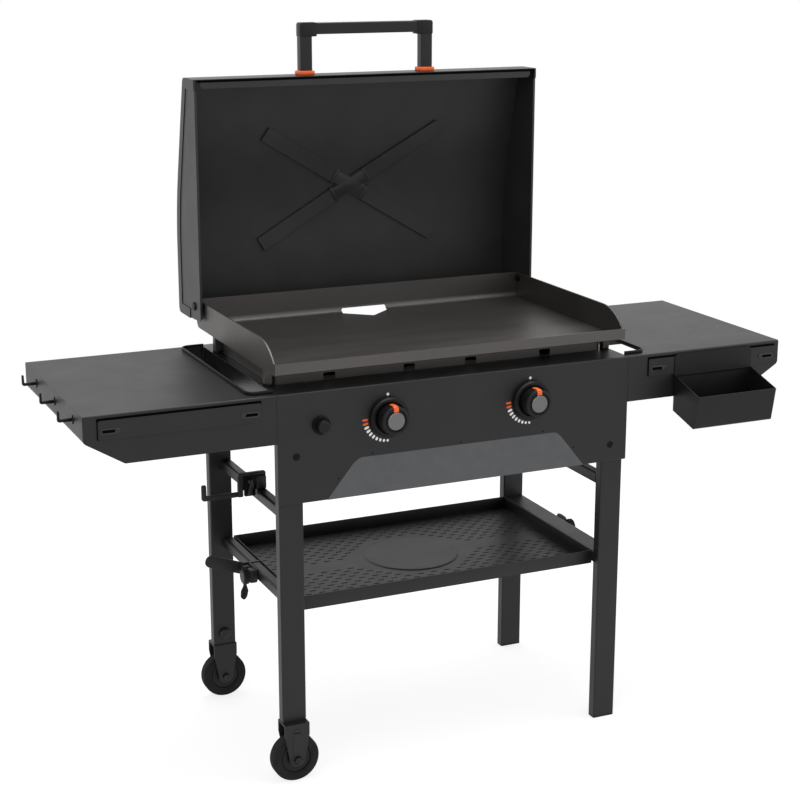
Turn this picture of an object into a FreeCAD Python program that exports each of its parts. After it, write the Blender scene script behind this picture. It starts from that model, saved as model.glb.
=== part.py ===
import FreeCAD, Part
import math
import os

# Outdoor gas griddle station on a four-legged cart with two side shelves and an open hood.
# Millimetres, +Z up. Pieces are drawn with x = 0 in the middle of the control panel,
# y = 0 on its front face and z = 0 on the ground. At the end everything moves together,
# so that the origin lies under the middle of the overall bounding box.

os.makedirs("parts", exist_ok=True)
Vector = FreeCAD.Vector

# Sheet metal and fits
SHEET = 1.5
BEND = 3.0
SEAM = 0.4
CLEARANCE = 0.3
PIN_CLEARANCE = 0.06
FIT = 0.2

# Control panel
DECK_TOP = 753.7
PANEL_WIDTH = 725.0
PANEL_HEIGHT = 207.0
DECK_DEPTH = 100.0
PANEL_SCREW_RADIUS = 7.0
PANEL_SCREW_HEAD = 3.0
PANEL_SCREW_TAIL = 6.0
PANEL_SCREW_INSET = 8.9
PANEL_SCREWS = ((-1, 636.0), (1, 580.6))

# Burner box
BOX_INSET = 0.3
BOX_HEIGHT = 90.6
BOX_LEDGE = 28.0
BOX_VENT_SPACING = 160.0
BOX_VENT_ROWS = (190.0, 330.0)
BOX_VENT_LENGTH = 90.0
BOX_VENT_WIDTH = 14.0
BOX_VENT_CORNER = 6.0

# Legs, rails and feet
LEG_WIDTH = 47.0
LEG_DEPTH = 21.7
LEG_WALL = 1.5
LEG_CORNER = 3.0
LEG_INSET = 3.0
LEG_SETBACK = 6.3
FRAME_DEPTH = 427.1
CASTER_LEG_BOTTOM = 118.0
END_CAP_HEIGHT = 4.0
END_CAP_PLUG = 18.0
RAIL_WIDTH = 21.5
RAIL_HEIGHT = 22.5
RAIL_CORNER = 5.0
UPPER_RAIL_TOP = 517.0
LOWER_RAIL_TOP = 352.0

# Casters
WHEEL_DIAMETER = 92.0
WHEEL_WIDTH = 23.0
TYRE_THICKNESS = 14.0
TYRE_SHOULDER = 3.0
HUB_RECESS = 4.0
HUB_WEB = 9.0
HUB_RIM = 3.0
HUB_BOSS_RADIUS = 12.0
AXLE_RADIUS = 4.0
FORK_SHEET = 2.5
FORK_WIDTH = 49.0
FORK_STRAIGHT = 23.0
FORK_TIP_RADIUS = 13.0
FORK_BEND = 8.0
FORK_FRONT_REACH = 13.3
FORK_RIB_WIDTH = 17.0
FORK_RIB_TOP = 108.0
FORK_RIB_RISE = 0.8
FORK_BOSS_RADIUS = 11.5
FORK_SLOT_WIDTH = 12.0
FORK_SLOT_HEIGHT = 2.0
TONGUE_HEIGHT = 46.0
TONGUE_WIDTH = 40.0
TONGUE_CORNER = 12.0
FORK_BOLT_RISE = 24.0
FORK_BOLT_HEAD = 13.0
FORK_BOLT_CROWN = 8.0
FORK_BOLT_TAIL = 8.0
FORK_NUT_RADIUS = 8.0
FORK_NUT_THICKNESS = 6.0
AXLE_NUT_RADIUS = 7.0
AXLE_HEAD_THICKNESS = 4.5
AXLE_NUT_THICKNESS = 5.5

# Side shelves
SHELF_LENGTH = 350.5
SHELF_BACK_INSET = 0.6
APRON_HEIGHT = 90.6
SIDE_APRON_HEIGHT = 47.0
APRON_CUT = 72.0
APRON_CORNERS = (6.0, 10.0)
WELL_WIDTH = 45.5
WELL_MARGIN = 19.4
WELL_CORNER = 9.0
WELL_FLANGE = 30.0
TRIM_WALL = 3.0
TRIM_RISE = 6.6
TRIM_END_CORNER = 1.4

# Tool strips, hooks and caddy
STRIP_LENGTH = 295.0
STRIP_HEIGHT = 34.0
STRIP_THICKNESS = 3.0
STRIP_DROP = 9.7
STRIP_LEFT_INSET = 26.2
STRIP_RIGHT_INSET = 10.5
SLOT_INSET = 19.0
SLOT_LENGTH = 22.0
SLOT_HEIGHT = 4.6
SLOT_EYE_RADIUS = 4.6
SLOT_DROP = 29.1
HOOK_PLACES = (67.4, 199.7, 342.6)
HOOK_DROP = 20.7
HOOK_REACH = 27.0
HOOK_RISE = 18.0
HOOK_BAR = 5.5
HOOK_BEND = 3.0
HOOK_PAD = 9.0
CADDY_INSET = 58.5
CADDY_LENGTH = 179.5
CADDY_HOOK_WIDTH = 30.0
CADDY_HOOK_INSET = 12.0
CADDY_TOP = 748.5
CADDY_MOUTH_BACK = 707.0
CADDY_MOUTH_FRONT = 682.0
CADDY_DEPTH = 87.2
CADDY_FLOOR_FRONT = 614.0
CADDY_FLOOR_BACK = 634.5
CADDY_FLOOR_DEPTH = 75.2

# Bottom shelf
TRAY_RIM_TOP = 354.0
TRAY_DEPTH = 24.0
TRAY_FRONT = 32.0
TRAY_BACK = 409.0
EMBOSS_RADIUS = 95.0
EMBOSS_RISE = 1.0

# Tank hanger and brace
HANGER_Y = 203.0
HANGER_SHEET = 3.0
HANGER_TOP = 548.0
HANGER_INSET = 2.8
HANGER_WIDTH = 49.0
HANGER_FLANGE = 15.0
HANGER_REACH = 125.0
HANGER_ARM_Z = 507.0
HANGER_ARM_HEIGHT = 8.0
HANGER_TIP_TOP = 535.0
HANGER_TIP_WIDTH = 7.0
HANGER_CORNER = 3.0
HANGER_SLOT_HEIGHT = 17.0
HANGER_SLOT_WIDTH = 7.0
HANGER_SLOT_LEAN = 4.0
HANGER_SLOT_TOP = 8.0
BRACE_FRONT = 200.0
BRACE_BACK = 253.0
BRACE_ARM_HEIGHT = 20.0
BRACE_ARM_BEND = 10.0
BRACE_CORNER = 3.0
BRACE_EYE_RADIUS = 3.5
BRACE_ARM_REACH = 111.3
BRACE_ARM_RISE = 41.0
BRACE_ARM_START = 32.3
WING_Y = 215.0
WING_Z = 339.0
WING_STUD_RADIUS = 3.0
WING_BARREL_RADIUS = 10.5
WING_BARREL_LENGTH = 17.0
WING_SPAN = 66.0
WING_TIP = 7.0
WING_WAIST = 5.0
WING_THICKNESS = 4.0
WING_STUD_LENGTH = 12.0

# Gas train
KNOB_X = 147.1
KNOB_Z = 691.5
BEZEL_RADIUS = 37.5
BEZEL_BORE = 29.5
BEZEL_DEPTH = 13.0
KNOB_FRONT = 38.0
KNOB_BACK = 5.0
KNOB_SKIRT_RADIUS = 28.5
KNOB_GRIP_RADIUS = 25.0
CAP_RADIUS = 16.5
CAP_RISE = 2.0
CAP_SEAT = 3.0
STEM_RADIUS = 4.0
STEM_FRONT = 28.0
STEM_REAR = 24.0
PLUG_RADIUS = 7.5
VALVE_RADIUS = 12.0
VALVE_FRONT = 14.0
VALVE_BACK = 60.0
MANIFOLD_SIZE = 18.0
MANIFOLD_TOP = 676.0
MANIFOLD_Y = 49.0
MANIFOLD_OVERHANG = 32.9
MANIFOLD_WALL = 2.0
STRAP_INSET = 20.0
STRAP_WIDTH = 16.0
STRAP_SHEET = 2.0
STRAP_RISE = 22.0
JET_RADIUS = 4.0
JET_LENGTH = 12.0
BURNER_MOUTH_Y = 66.0
BURNER_MOUTH_RADIUS = 16.0
BURNER_TUBE = 12.5
BURNER_WALL = 1.2
BURNER_CROSS_TUBE = 10.0
BURNER_ARM_SPACING = 190.0
BURNER_ARM_FRONT = 135.0
BURNER_ARM_BACK = 395.0
BURNER_FOOT = 3.0
INLET_LENGTH = 34.0
INLET_RADIUS = 7.0
IGNITER_INSET = 83.9
IGNITER_Z = 690.0
IGNITER_COLLAR_RADIUS = 17.0
IGNITER_COLLAR = 5.0
IGNITER_BODY_RADIUS = 14.0
IGNITER_BODY_BACK = 46.0
IGNITER_BUTTON_RADIUS = 12.0
IGNITER_BUTTON_FRONT = 20.0
IGNITER_BUTTON_BACK = 22.0

# Griddle plate
PLATE_INSET = 2.5
PLATE_FRONT = 12.0
PLATE_BACK = 462.0
PLATE_BOTTOM = 785.0
PLATE_WALL = 3.2
LIP_TOP = 806.5
GUARD_TOP = 841.0
GUARD_SWEEP = 100.0
BACK_BEND = 15.0
GREASE_WIDTH = 100.0
GREASE_APEX = 403.0
GREASE_APEX_CORNER = 5.0
GREASE_SHOULDER = 446.0
GREASE_WALL_TOP = 796.0
GREASE_WALL_TAPER = 4.0
CHUTE_SHEET = 2.0
CHUTE_LAP = 10.0
CHUTE_SLOPE = 0.36
CHUTE_LIP = 14.0
CHUTE_END = 472.0
FOOT_SIZE = 14.0
FOOT_INSET = 8.0
FOOT_FRONT_Y = 75.0
FOOT_BACK_Y = 360.0
ADJUSTER_HEIGHT = 4.5
ADJUSTER_RADIUS = 9.0
ADJUSTER_STUD = 3.5
ADJUSTER_THREAD = 14.0

# Wind guard under the plate
SKIRT_SHEET = 2.0
SKIRT_FRONT = 89.0
SKIRT_INSET = 16.5
SKIRT_BACK = 389.0
SKIRT_BOTTOM = 758.7
SKIRT_CORNER = 15.0
VENT_WIDTH = 24.0
VENT_BOTTOM = 762.0
VENT_PLACES = (-227.0, -64.5, 64.5, 227.0)

# Hood, drawn open
HINGE_Y = 446.0
HINGE_Z = 830.0
HOOD_OVERHANG = 10.0
HOOD_FRONT = 410.0
HOOD_TOP = 1276.0
HOOD_CROWN_BACK = 478.0
HOOD_SHOULDER = (545.0, 1010.0)
HOOD_SHOULDER_RADIUS = 600.0
HOOD_BACK = 546.0
HOOD_FOOT = 803.0
HOOD_FLANGE_START = 474.0
HOOD_CORNER = 12.0
HOOD_END_FLANGE = 20.0
HOOD_LIP_HEIGHT = 18.0
HOOD_LIP_INSET = 14.0
HOOD_END_FOOT = 806.0
HOOD_END_RETURN = 3.0
PIVOT_SHOULDER = 5.0
PIVOT_THREAD = 4.0
PIVOT_HEAD = 9.0
PIVOT_HEAD_THICKNESS = 3.0
PIVOT_COLLAR = 8.0
PIVOT_NUT = 7.0
PIVOT_NUT_THICKNESS = 4.0
BAR_HALF_SPAN = 193.0
BAR_TOP_DROP = 120.0
BAR_LOW_Z = 926.0
BAR_WIDTH = 30.0
BAR_DEPTH = 5.0

# Handle
HANDLE_Y = 441.0
HANDLE_X = 130.0
HANDLE_RISE = 101.0
HANDLE_BAR = 22.0
HANDLE_BAR_DROP = 1.0
POST_WIDTH = 28.0
POST_DEPTH = 22.0
ELBOW_WIDTH = 44.0
ELBOW_HEIGHT = 27.0
ELBOW_DEPTH = 27.0
ELBOW_CORNER = 9.0
SOCKET_DEPTH = 12.0
GROMMET_WIDTH = 41.0
GROMMET_DEPTH = 34.0
GROMMET_HEIGHT = 9.0

# Grease cup behind the box
CUP_WIDTH = 120.0
CUP_DEPTH = 70.0
CUP_HEIGHT = 78.0
CUP_TAPER = 8.0
CUP_WALL = 1.2
CUP_TOP = 744.0
CUP_RIM = 6.0
CUP_RIM_THICKNESS = 2.0
BRACKET_SHEET = 2.0
BRACKET_HEIGHT = 26.0

# Travel of the pieces that move in and out
KNOB_TRAVEL = 3.0
BUTTON_TRAVEL = 4.0

# Values that follow
HANDLE_TOP = HOOD_TOP + HANDLE_RISE
BAR_TOP_Z = HOOD_TOP - BAR_TOP_DROP
SHELF_DEPTH = LEG_SETBACK + FRAME_DEPTH - SHELF_BACK_INSET
BOX_WIDTH = PANEL_WIDTH - 2 * BOX_INSET
LEG_SPREAD = BOX_WIDTH - 2 * LEG_INSET
PLATE_WIDTH = PANEL_WIDTH - 2 * PLATE_INSET
HOOD_WIDTH = PLATE_WIDTH + 2 * HOOD_OVERHANG
PANEL_HALF = PANEL_WIDTH / 2
PANEL_BOTTOM = DECK_TOP - PANEL_HEIGHT
DECK_UNDER = DECK_TOP - SHEET
BOX_HALF = BOX_WIDTH / 2
BOX_BOTTOM = DECK_TOP - BOX_HEIGHT
LEG_OUTER = LEG_SPREAD / 2
LEG_INNER = LEG_OUTER - LEG_WIDTH
LEG_X = LEG_OUTER - LEG_WIDTH / 2
FRONT_LEG_BACK = LEG_SETBACK + LEG_DEPTH
FRAME_BACK = LEG_SETBACK + FRAME_DEPTH
REAR_LEG_FRONT = FRAME_BACK - LEG_DEPTH
WHEEL_RADIUS = WHEEL_DIAMETER / 2
SHELF_INNER = PANEL_HALF + SEAM
SHELF_OUTER = PANEL_HALF + SHELF_LENGTH
APRON_BOTTOM = DECK_TOP - APRON_HEIGHT
STRIP_TOP = DECK_TOP - STRIP_DROP
STRIP_BOTTOM = STRIP_TOP - STRIP_HEIGHT
PLATE_HALF = PLATE_WIDTH / 2
PLATE_TOP = PLATE_BOTTOM + PLATE_WALL
HOOD_HALF = HOOD_WIDTH / 2
PANEL_SCREW_X = LEG_X - PANEL_SCREW_INSET
IGNITER_X = IGNITER_INSET - PANEL_HALF
FOOT_X = PLATE_HALF - FOOT_INSET
SKIRT_SIDE = PLATE_HALF - SKIRT_INSET
MANIFOLD_LENGTH = 2 * (KNOB_X + MANIFOLD_OVERHANG)
STRIP_LEFT_START = STRIP_LEFT_INSET - SHELF_OUTER
STRIP_RIGHT_START = SHELF_OUTER - STRIP_RIGHT_INSET - STRIP_LENGTH
CADDY_START = STRIP_RIGHT_START + CADDY_INSET
LEFT_RAIL_FACE = -(LEG_INNER + RAIL_WIDTH)
HANGER_RIGHT = -(LEG_INNER + HANGER_INSET)
HANGER_LEFT = HANGER_RIGHT - HANGER_WIDTH
HANGER_ARM_END = HANGER_RIGHT - HANGER_REACH
BRACE_ARM_ROOT = (LEFT_RAIL_FACE - BRACE_ARM_START, LOWER_RAIL_TOP)
BRACE_ARM_END = (LEFT_RAIL_FACE - BRACE_ARM_REACH, LOWER_RAIL_TOP + BRACE_ARM_RISE)
WHEEL_MIDDLE = LEG_SETBACK + (LEG_DEPTH + FORK_SHEET - FORK_FRONT_REACH) / 2
HOOD_END_OUTER = HOOD_HALF - SHEET
HOOD_END_INNER = HOOD_HALF - 2 * SHEET
TRAY_FLOOR_TOP = TRAY_RIM_TOP - TRAY_DEPTH


def block(x0, x1, y0, y1, z0, z1):
    """Box between six planes."""
    corner = Vector(min(x0, x1), min(y0, y1), min(z0, z1))
    return Part.makeBox(abs(x1 - x0), abs(y1 - y0), abs(z1 - z0), corner)


def rod(radius, start, end):
    """Round bar between two points."""
    way = Vector(*end) - Vector(*start)
    return Part.makeCylinder(radius, way.Length, Vector(*start), way)


def outline(points, plane, level):
    """Closed wire through (u, v) or (u, v, radius) points in the plane xy, xz or yz."""
    place = {
        "xy": lambda p: Vector(p.x, p.y, level),
        "xz": lambda p: Vector(p.x, level, p.y),
        "yz": lambda p: Vector(level, p.x, p.y),
    }[plane]
    corners = []
    count = len(points)
    for i, point in enumerate(points):
        here = Vector(point[0], point[1], 0)
        radius = point[2] if len(point) > 2 else 0
        before = Vector(*points[i - 1][:2], 0) - here
        after = Vector(*points[(i + 1) % count][:2], 0) - here
        before.normalize()
        after.normalize()
        if radius <= 0:
            corners.append((here, here, here))
            continue
        half = math.acos(max(-1, min(1, before.dot(after)))) / 2
        reach = radius / math.tan(half)
        middle = before + after
        middle.normalize()
        top = here + middle * (radius / math.sin(half) - radius)
        corners.append((here + before * reach, top, here + after * reach))
    edges = []
    for i, (start, top, end) in enumerate(corners):
        if (end - start).Length > 1e-6:
            edges.append(Part.Arc(place(start), place(top), place(end)).toShape())
        following = corners[(i + 1) % count][0]
        if (following - end).Length > 1e-6:
            edges.append(Part.makeLine(place(end), place(following)))
    return Part.Wire(edges)


def prism(points, plane, start, end):
    """Outline pushed from one level to another, square to its plane."""
    way = {"xy": Vector(0, 0, 1), "xz": Vector(0, 1, 0), "yz": Vector(1, 0, 0)}[plane]
    low, high = min(start, end), max(start, end)
    return Part.Face(outline(points, plane, low)).extrude(way * (high - low))


def rectangle(u0, u1, v0, v1, radius=0):
    """Corner points of a rectangle, all rounded alike."""
    return [(u0, v0, radius), (u1, v0, radius), (u1, v1, radius), (u0, v1, radius)]


def inset(points, distances):
    """Polygon with each edge moved inwards by its own distance; points run anticlockwise."""
    count = len(points)
    lines = []
    for i, distance in enumerate(distances):
        a = Vector(*points[i][:2], 0)
        b = Vector(*points[(i + 1) % count][:2], 0)
        along = b - a
        along.normalize()
        inward = Vector(-along.y, along.x, 0)
        lines.append((a + inward * distance, along))
    result = []
    for i in range(count):
        (a, u), (b, v) = lines[i - 1], lines[i]
        cross = u.x * v.y - u.y * v.x
        t = ((b.x - a.x) * v.y - (b.y - a.y) * v.x) / cross
        radius = points[i][2] if len(points[i]) > 2 else 0
        result.append((a.x + u.x * t, a.y + u.y * t, max(0, radius - distances[i])))
    return result


def turned(profile, centre, direction):
    """Solid of revolution: (radius, distance) points about a line along x, y or z."""
    wire = Part.makePolygon([Vector(r, 0, h) for r, h in profile + profile[:1]])
    solid = Part.Face(wire).revolve(Vector(0, 0, 0), Vector(0, 0, 1), 360)
    solid.Placement = FreeCAD.Placement(
        Vector(*centre), FreeCAD.Rotation(Vector(0, 0, 1), Vector(*direction)))
    return solid


def joined(shapes):
    """One solid from several that meet."""
    return shapes[0].fuse(shapes[1:]).removeSplitter()


def mirrored(shape):
    """The same piece on the other side of the middle plane x = 0."""
    return shape.mirror(Vector(0, 0, 0), Vector(1, 0, 0))


def group(shapes):
    """Several separate solids kept as one node."""
    return Part.makeCompound(shapes)


def upright_tube(x0, x1, y0, y1, z0, z1):
    """Rectangular leg tube, open at both ends."""
    outer = prism(rectangle(x0, x1, y0, y1, LEG_CORNER), "xy", z0, z1)
    bore = rectangle(x0 + LEG_WALL, x1 - LEG_WALL, y0 + LEG_WALL, y1 - LEG_WALL,
                     LEG_CORNER - LEG_WALL)
    return outer.cut(prism(bore, "xy", z0 - 1, z1 + 1))


# Cart frame
def legs():
    """Four legs; the left pair is short and ends on the casters."""
    top = DECK_UNDER - CLEARANCE
    right_foot = END_CAP_HEIGHT
    rows = {"front": (LEG_SETBACK, FRONT_LEG_BACK), "rear": (REAR_LEG_FRONT, FRAME_BACK)}
    pieces = {}
    for row, (y0, y1) in rows.items():
        left = upright_tube(-LEG_OUTER, -LEG_INNER, y0, y1, CASTER_LEG_BOTTOM, top)
        right = upright_tube(LEG_INNER, LEG_OUTER, y0, y1, right_foot, top)
        tongue_wall = y1 if row == "front" else y0
        bolt_z = CASTER_LEG_BOTTOM + FORK_BOLT_RISE
        hole = rod(AXLE_RADIUS + FIT, (-LEG_X, tongue_wall - LEG_WALL - 1, bolt_z),
                   (-LEG_X, tongue_wall + LEG_WALL + 1, bolt_z))
        left = left.cut(hole)
        if row == "front":
            bores = [rod(AXLE_RADIUS + FIT, (side * PANEL_SCREW_X, y0 - 1, z),
                         (side * PANEL_SCREW_X, y0 + LEG_WALL + 1, z)) for side, z in PANEL_SCREWS]
            left = left.cut(bores)
            right = right.cut(bores)
        pieces[row + "_left_leg"] = left
        pieces[row + "_right_leg"] = right
    return pieces


def leg_end_caps():
    """Plastic plugs that close the two legs standing on the ground."""
    caps = []
    for y0, y1 in ((LEG_SETBACK, FRONT_LEG_BACK), (REAR_LEG_FRONT, FRAME_BACK)):
        sole = prism(rectangle(LEG_INNER, LEG_OUTER, y0, y1, LEG_CORNER), "xy", 0, END_CAP_HEIGHT)
        gap = LEG_WALL + FIT
        plug = prism(rectangle(LEG_INNER + gap, LEG_OUTER - gap, y0 + gap, y1 - gap, 1.0),
                     "xy", END_CAP_HEIGHT, END_CAP_HEIGHT + END_CAP_PLUG)
        caps.append(joined([sole, plug]))
    return group(caps)


def rail(x0, x1, top, height):
    """Rounded side rail from the front leg to the rear one."""
    outer = prism(rectangle(x0, x1, top - height, top, RAIL_CORNER), "xz",
                  FRONT_LEG_BACK, REAR_LEG_FRONT)
    bore = rectangle(x0 + LEG_WALL, x1 - LEG_WALL, top - height + LEG_WALL, top - LEG_WALL,
                     RAIL_CORNER - LEG_WALL)
    return outer.cut(prism(bore, "xz", FRONT_LEG_BACK - 1, REAR_LEG_FRONT + 1))


def side_rails():
    """Two rails on each side; the right lower one is as wide as the legs."""
    wing_bore = WING_STUD_RADIUS + PIN_CLEARANCE
    lower_left = rail(LEFT_RAIL_FACE, -LEG_INNER, LOWER_RAIL_TOP, RAIL_HEIGHT)
    lower_left = lower_left.cut(rod(wing_bore, (LEFT_RAIL_FACE - 1, WING_Y, WING_Z),
                                    (LEFT_RAIL_FACE + LEG_WALL + 1, WING_Y, WING_Z)))
    lower_right = rail(LEG_INNER, LEG_OUTER, LOWER_RAIL_TOP, RAIL_HEIGHT)
    lower_right = lower_right.cut(rod(wing_bore, (LEG_OUTER - LEG_WALL - 1, WING_Y, WING_Z),
                                      (LEG_OUTER + 1, WING_Y, WING_Z)))
    return {
        "upper_left_rail": rail(LEFT_RAIL_FACE, -LEG_INNER, UPPER_RAIL_TOP, RAIL_HEIGHT),
        "upper_right_rail": rail(LEG_INNER, -LEFT_RAIL_FACE, UPPER_RAIL_TOP, RAIL_HEIGHT),
        "lower_left_rail": lower_left,
        "lower_right_rail": lower_right,
    }


def fork(front):
    """Bent caster fork: top plate, two tapering cheeks and a tongue bolted to the leg."""
    top = CASTER_LEG_BOTTOM
    outer_front = LEG_SETBACK - FORK_FRONT_REACH
    outer_back = FRONT_LEG_BACK + FORK_SHEET
    half = FORK_WIDTH / 2
    waist = top - FORK_STRAIGHT
    tip = WHEEL_RADIUS - FORK_TIP_RADIUS
    cheek = [(-LEG_X - half, top), (-LEG_X - half, waist, FORK_BEND),
             (-LEG_X - FORK_TIP_RADIUS, tip, FORK_TIP_RADIUS - 1),
             (-LEG_X + FORK_TIP_RADIUS, tip, FORK_TIP_RADIUS - 1),
             (-LEG_X + half, waist, FORK_BEND), (-LEG_X + half, top)]
    front_cheek = prism(cheek, "xz", outer_front, outer_front + FORK_SHEET)
    back_cheek = prism(cheek, "xz", outer_back - FORK_SHEET, outer_back)
    plate = block(-LEG_X - half, -LEG_X + half, outer_front, outer_back, top - FORK_SHEET, top)
    tongue_points = [(-LEG_X - TONGUE_WIDTH / 2, top - FORK_SHEET),
                     (-LEG_X + TONGUE_WIDTH / 2, top - FORK_SHEET),
                     (-LEG_X + TONGUE_WIDTH / 2, top + TONGUE_HEIGHT, TONGUE_CORNER),
                     (-LEG_X - TONGUE_WIDTH / 2, top + TONGUE_HEIGHT, TONGUE_CORNER)]
    tongue = prism(tongue_points, "xz", outer_back - FORK_SHEET, outer_back)
    body = joined([plate, front_cheek, back_cheek, tongue] + fork_pressings(outer_front))
    axle_bore = rod(AXLE_RADIUS + PIN_CLEARANCE, (-LEG_X, outer_front - 1, WHEEL_RADIUS),
                    (-LEG_X, outer_back + 1, WHEEL_RADIUS))
    bolt_z = top + FORK_BOLT_RISE
    bolt_bore = rod(AXLE_RADIUS + FIT, (-LEG_X, outer_back - FORK_SHEET - 1, bolt_z),
                    (-LEG_X, outer_back + 1, bolt_z))
    slot_top = FORK_RIB_TOP - FORK_RIB_WIDTH / 2
    slot = block(-LEG_X - FORK_SLOT_WIDTH / 2, -LEG_X + FORK_SLOT_WIDTH / 2, outer_front - 2,
                 outer_front + FORK_SHEET + 1, slot_top, slot_top + FORK_SLOT_HEIGHT)
    body = body.cut([axle_bore, bolt_bore, slot])
    return body if front else flipped(body)


def fork_pressings(face):
    """Upright rib and the boss round the axle, both pressed out of a cheek's outer face."""
    half = FORK_RIB_WIDTH / 2
    rib = prism(rectangle(-LEG_X - half, -LEG_X + half, WHEEL_RADIUS + half, FORK_RIB_TOP, half - 1),
                "xz", face - FORK_RIB_RISE, face + 1)
    boss = rod(FORK_BOSS_RADIUS, (-LEG_X, face - FORK_RIB_RISE, WHEEL_RADIUS),
               (-LEG_X, face + 1, WHEEL_RADIUS))
    return [rib, boss]


def flipped(shape):
    """The same piece turned front to back about the middle of the frame."""
    middle = LEG_SETBACK + FRAME_DEPTH / 2
    return shape.mirror(Vector(0, middle, 0), Vector(0, 1, 0))


def fork_bolt():
    """Round-headed bolt through the tongue and the leg's back wall, with its nut inside."""
    z = CASTER_LEG_BOTTOM + FORK_BOLT_RISE
    face = FRONT_LEG_BACK + FORK_SHEET
    edge = FORK_BOLT_CROWN / 3
    head = [(0, 0), (FORK_BOLT_HEAD, 0), (FORK_BOLT_HEAD, edge),
            (FORK_BOLT_HEAD * 2 / 3, FORK_BOLT_CROWN - 1), (0, FORK_BOLT_CROWN)]
    cap = turned(head, (-LEG_X, face, z), (0, 1, 0))
    inside = FRONT_LEG_BACK - LEG_WALL
    shank = rod(AXLE_RADIUS, (-LEG_X, inside - FORK_BOLT_TAIL, z), (-LEG_X, face, z))
    nut = rod(FORK_NUT_RADIUS, (-LEG_X, inside - FORK_NUT_THICKNESS, z), (-LEG_X, inside, z))
    return joined([cap, shank, nut])


def caster_axle():
    """Axle bolt: hex head in front of the fork and a nut behind it."""
    front = LEG_SETBACK - FORK_FRONT_REACH - FORK_RIB_RISE
    back = FRONT_LEG_BACK + FORK_SHEET
    pin = rod(AXLE_RADIUS, (-LEG_X, front - 1, WHEEL_RADIUS), (-LEG_X, back + 1, WHEEL_RADIUS))
    head = hexagon_y(-LEG_X, WHEEL_RADIUS, AXLE_NUT_RADIUS, front - AXLE_HEAD_THICKNESS, front)
    nut = hexagon_y(-LEG_X, WHEEL_RADIUS, AXLE_NUT_RADIUS, back, back + AXLE_NUT_THICKNESS)
    return joined([pin, head, nut])


def hexagon_y(x, z, radius, y0, y1):
    """Six-sided head or nut whose axis runs front to back."""
    corners = [(x + radius * math.cos(math.radians(60 * i)),
                z + radius * math.sin(math.radians(60 * i))) for i in range(6)]
    return prism(corners, "xz", y0, y1)


def wheel_hub():
    """Plastic wheel centre: boss, web recessed on both faces and a rim for the tyre."""
    half = WHEEL_WIDTH / 2
    bore = AXLE_RADIUS + PIN_CLEARANCE
    rim = WHEEL_RADIUS - TYRE_THICKNESS
    web = HUB_WEB / 2
    flat = rim - HUB_RIM
    profile = [(bore, -half), (HUB_BOSS_RADIUS, -half), (HUB_BOSS_RADIUS, -web), (flat, -web),
               (flat, 1 - half), (rim, 1 - half), (rim, half - 1), (flat, half - 1), (flat, web),
               (HUB_BOSS_RADIUS, web), (HUB_BOSS_RADIUS, half), (bore, half)]
    return turned(profile, (-LEG_X, WHEEL_MIDDLE, WHEEL_RADIUS), (0, 1, 0))


def wheel_tyre():
    """Solid rubber tread with rounded shoulders, seated on the hub's rim."""
    half = WHEEL_WIDTH / 2
    rim = WHEEL_RADIUS - TYRE_THICKNESS
    edge = TYRE_SHOULDER
    profile = [(rim, -half), (WHEEL_RADIUS - edge, -half), (WHEEL_RADIUS - 1, 1 - half),
               (WHEEL_RADIUS, edge - half), (WHEEL_RADIUS, half - edge),
               (WHEEL_RADIUS - 1, half - 1), (WHEEL_RADIUS - edge, half), (rim, half)]
    return turned(profile, (-LEG_X, WHEEL_MIDDLE, WHEEL_RADIUS), (0, 1, 0))


def bottom_shelf():
    """Recessed tray between the lower rails, with a plain raised disc."""
    outer = block(-LEG_INNER, LEG_INNER, TRAY_FRONT, TRAY_BACK,
                  TRAY_FLOOR_TOP - SHEET, TRAY_RIM_TOP)
    inner = block(-LEG_INNER + SHEET, LEG_INNER - SHEET, TRAY_FRONT + SHEET, TRAY_BACK - SHEET,
                  TRAY_FLOOR_TOP, TRAY_RIM_TOP + 1)
    disc = turned([(0, 0), (EMBOSS_RADIUS, 0), (EMBOSS_RADIUS - SHEET, EMBOSS_RISE),
                   (0, EMBOSS_RISE)], (0, (TRAY_FRONT + TRAY_BACK) / 2, TRAY_FLOOR_TOP), (0, 0, 1))
    return joined([outer.cut(inner), disc])


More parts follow.
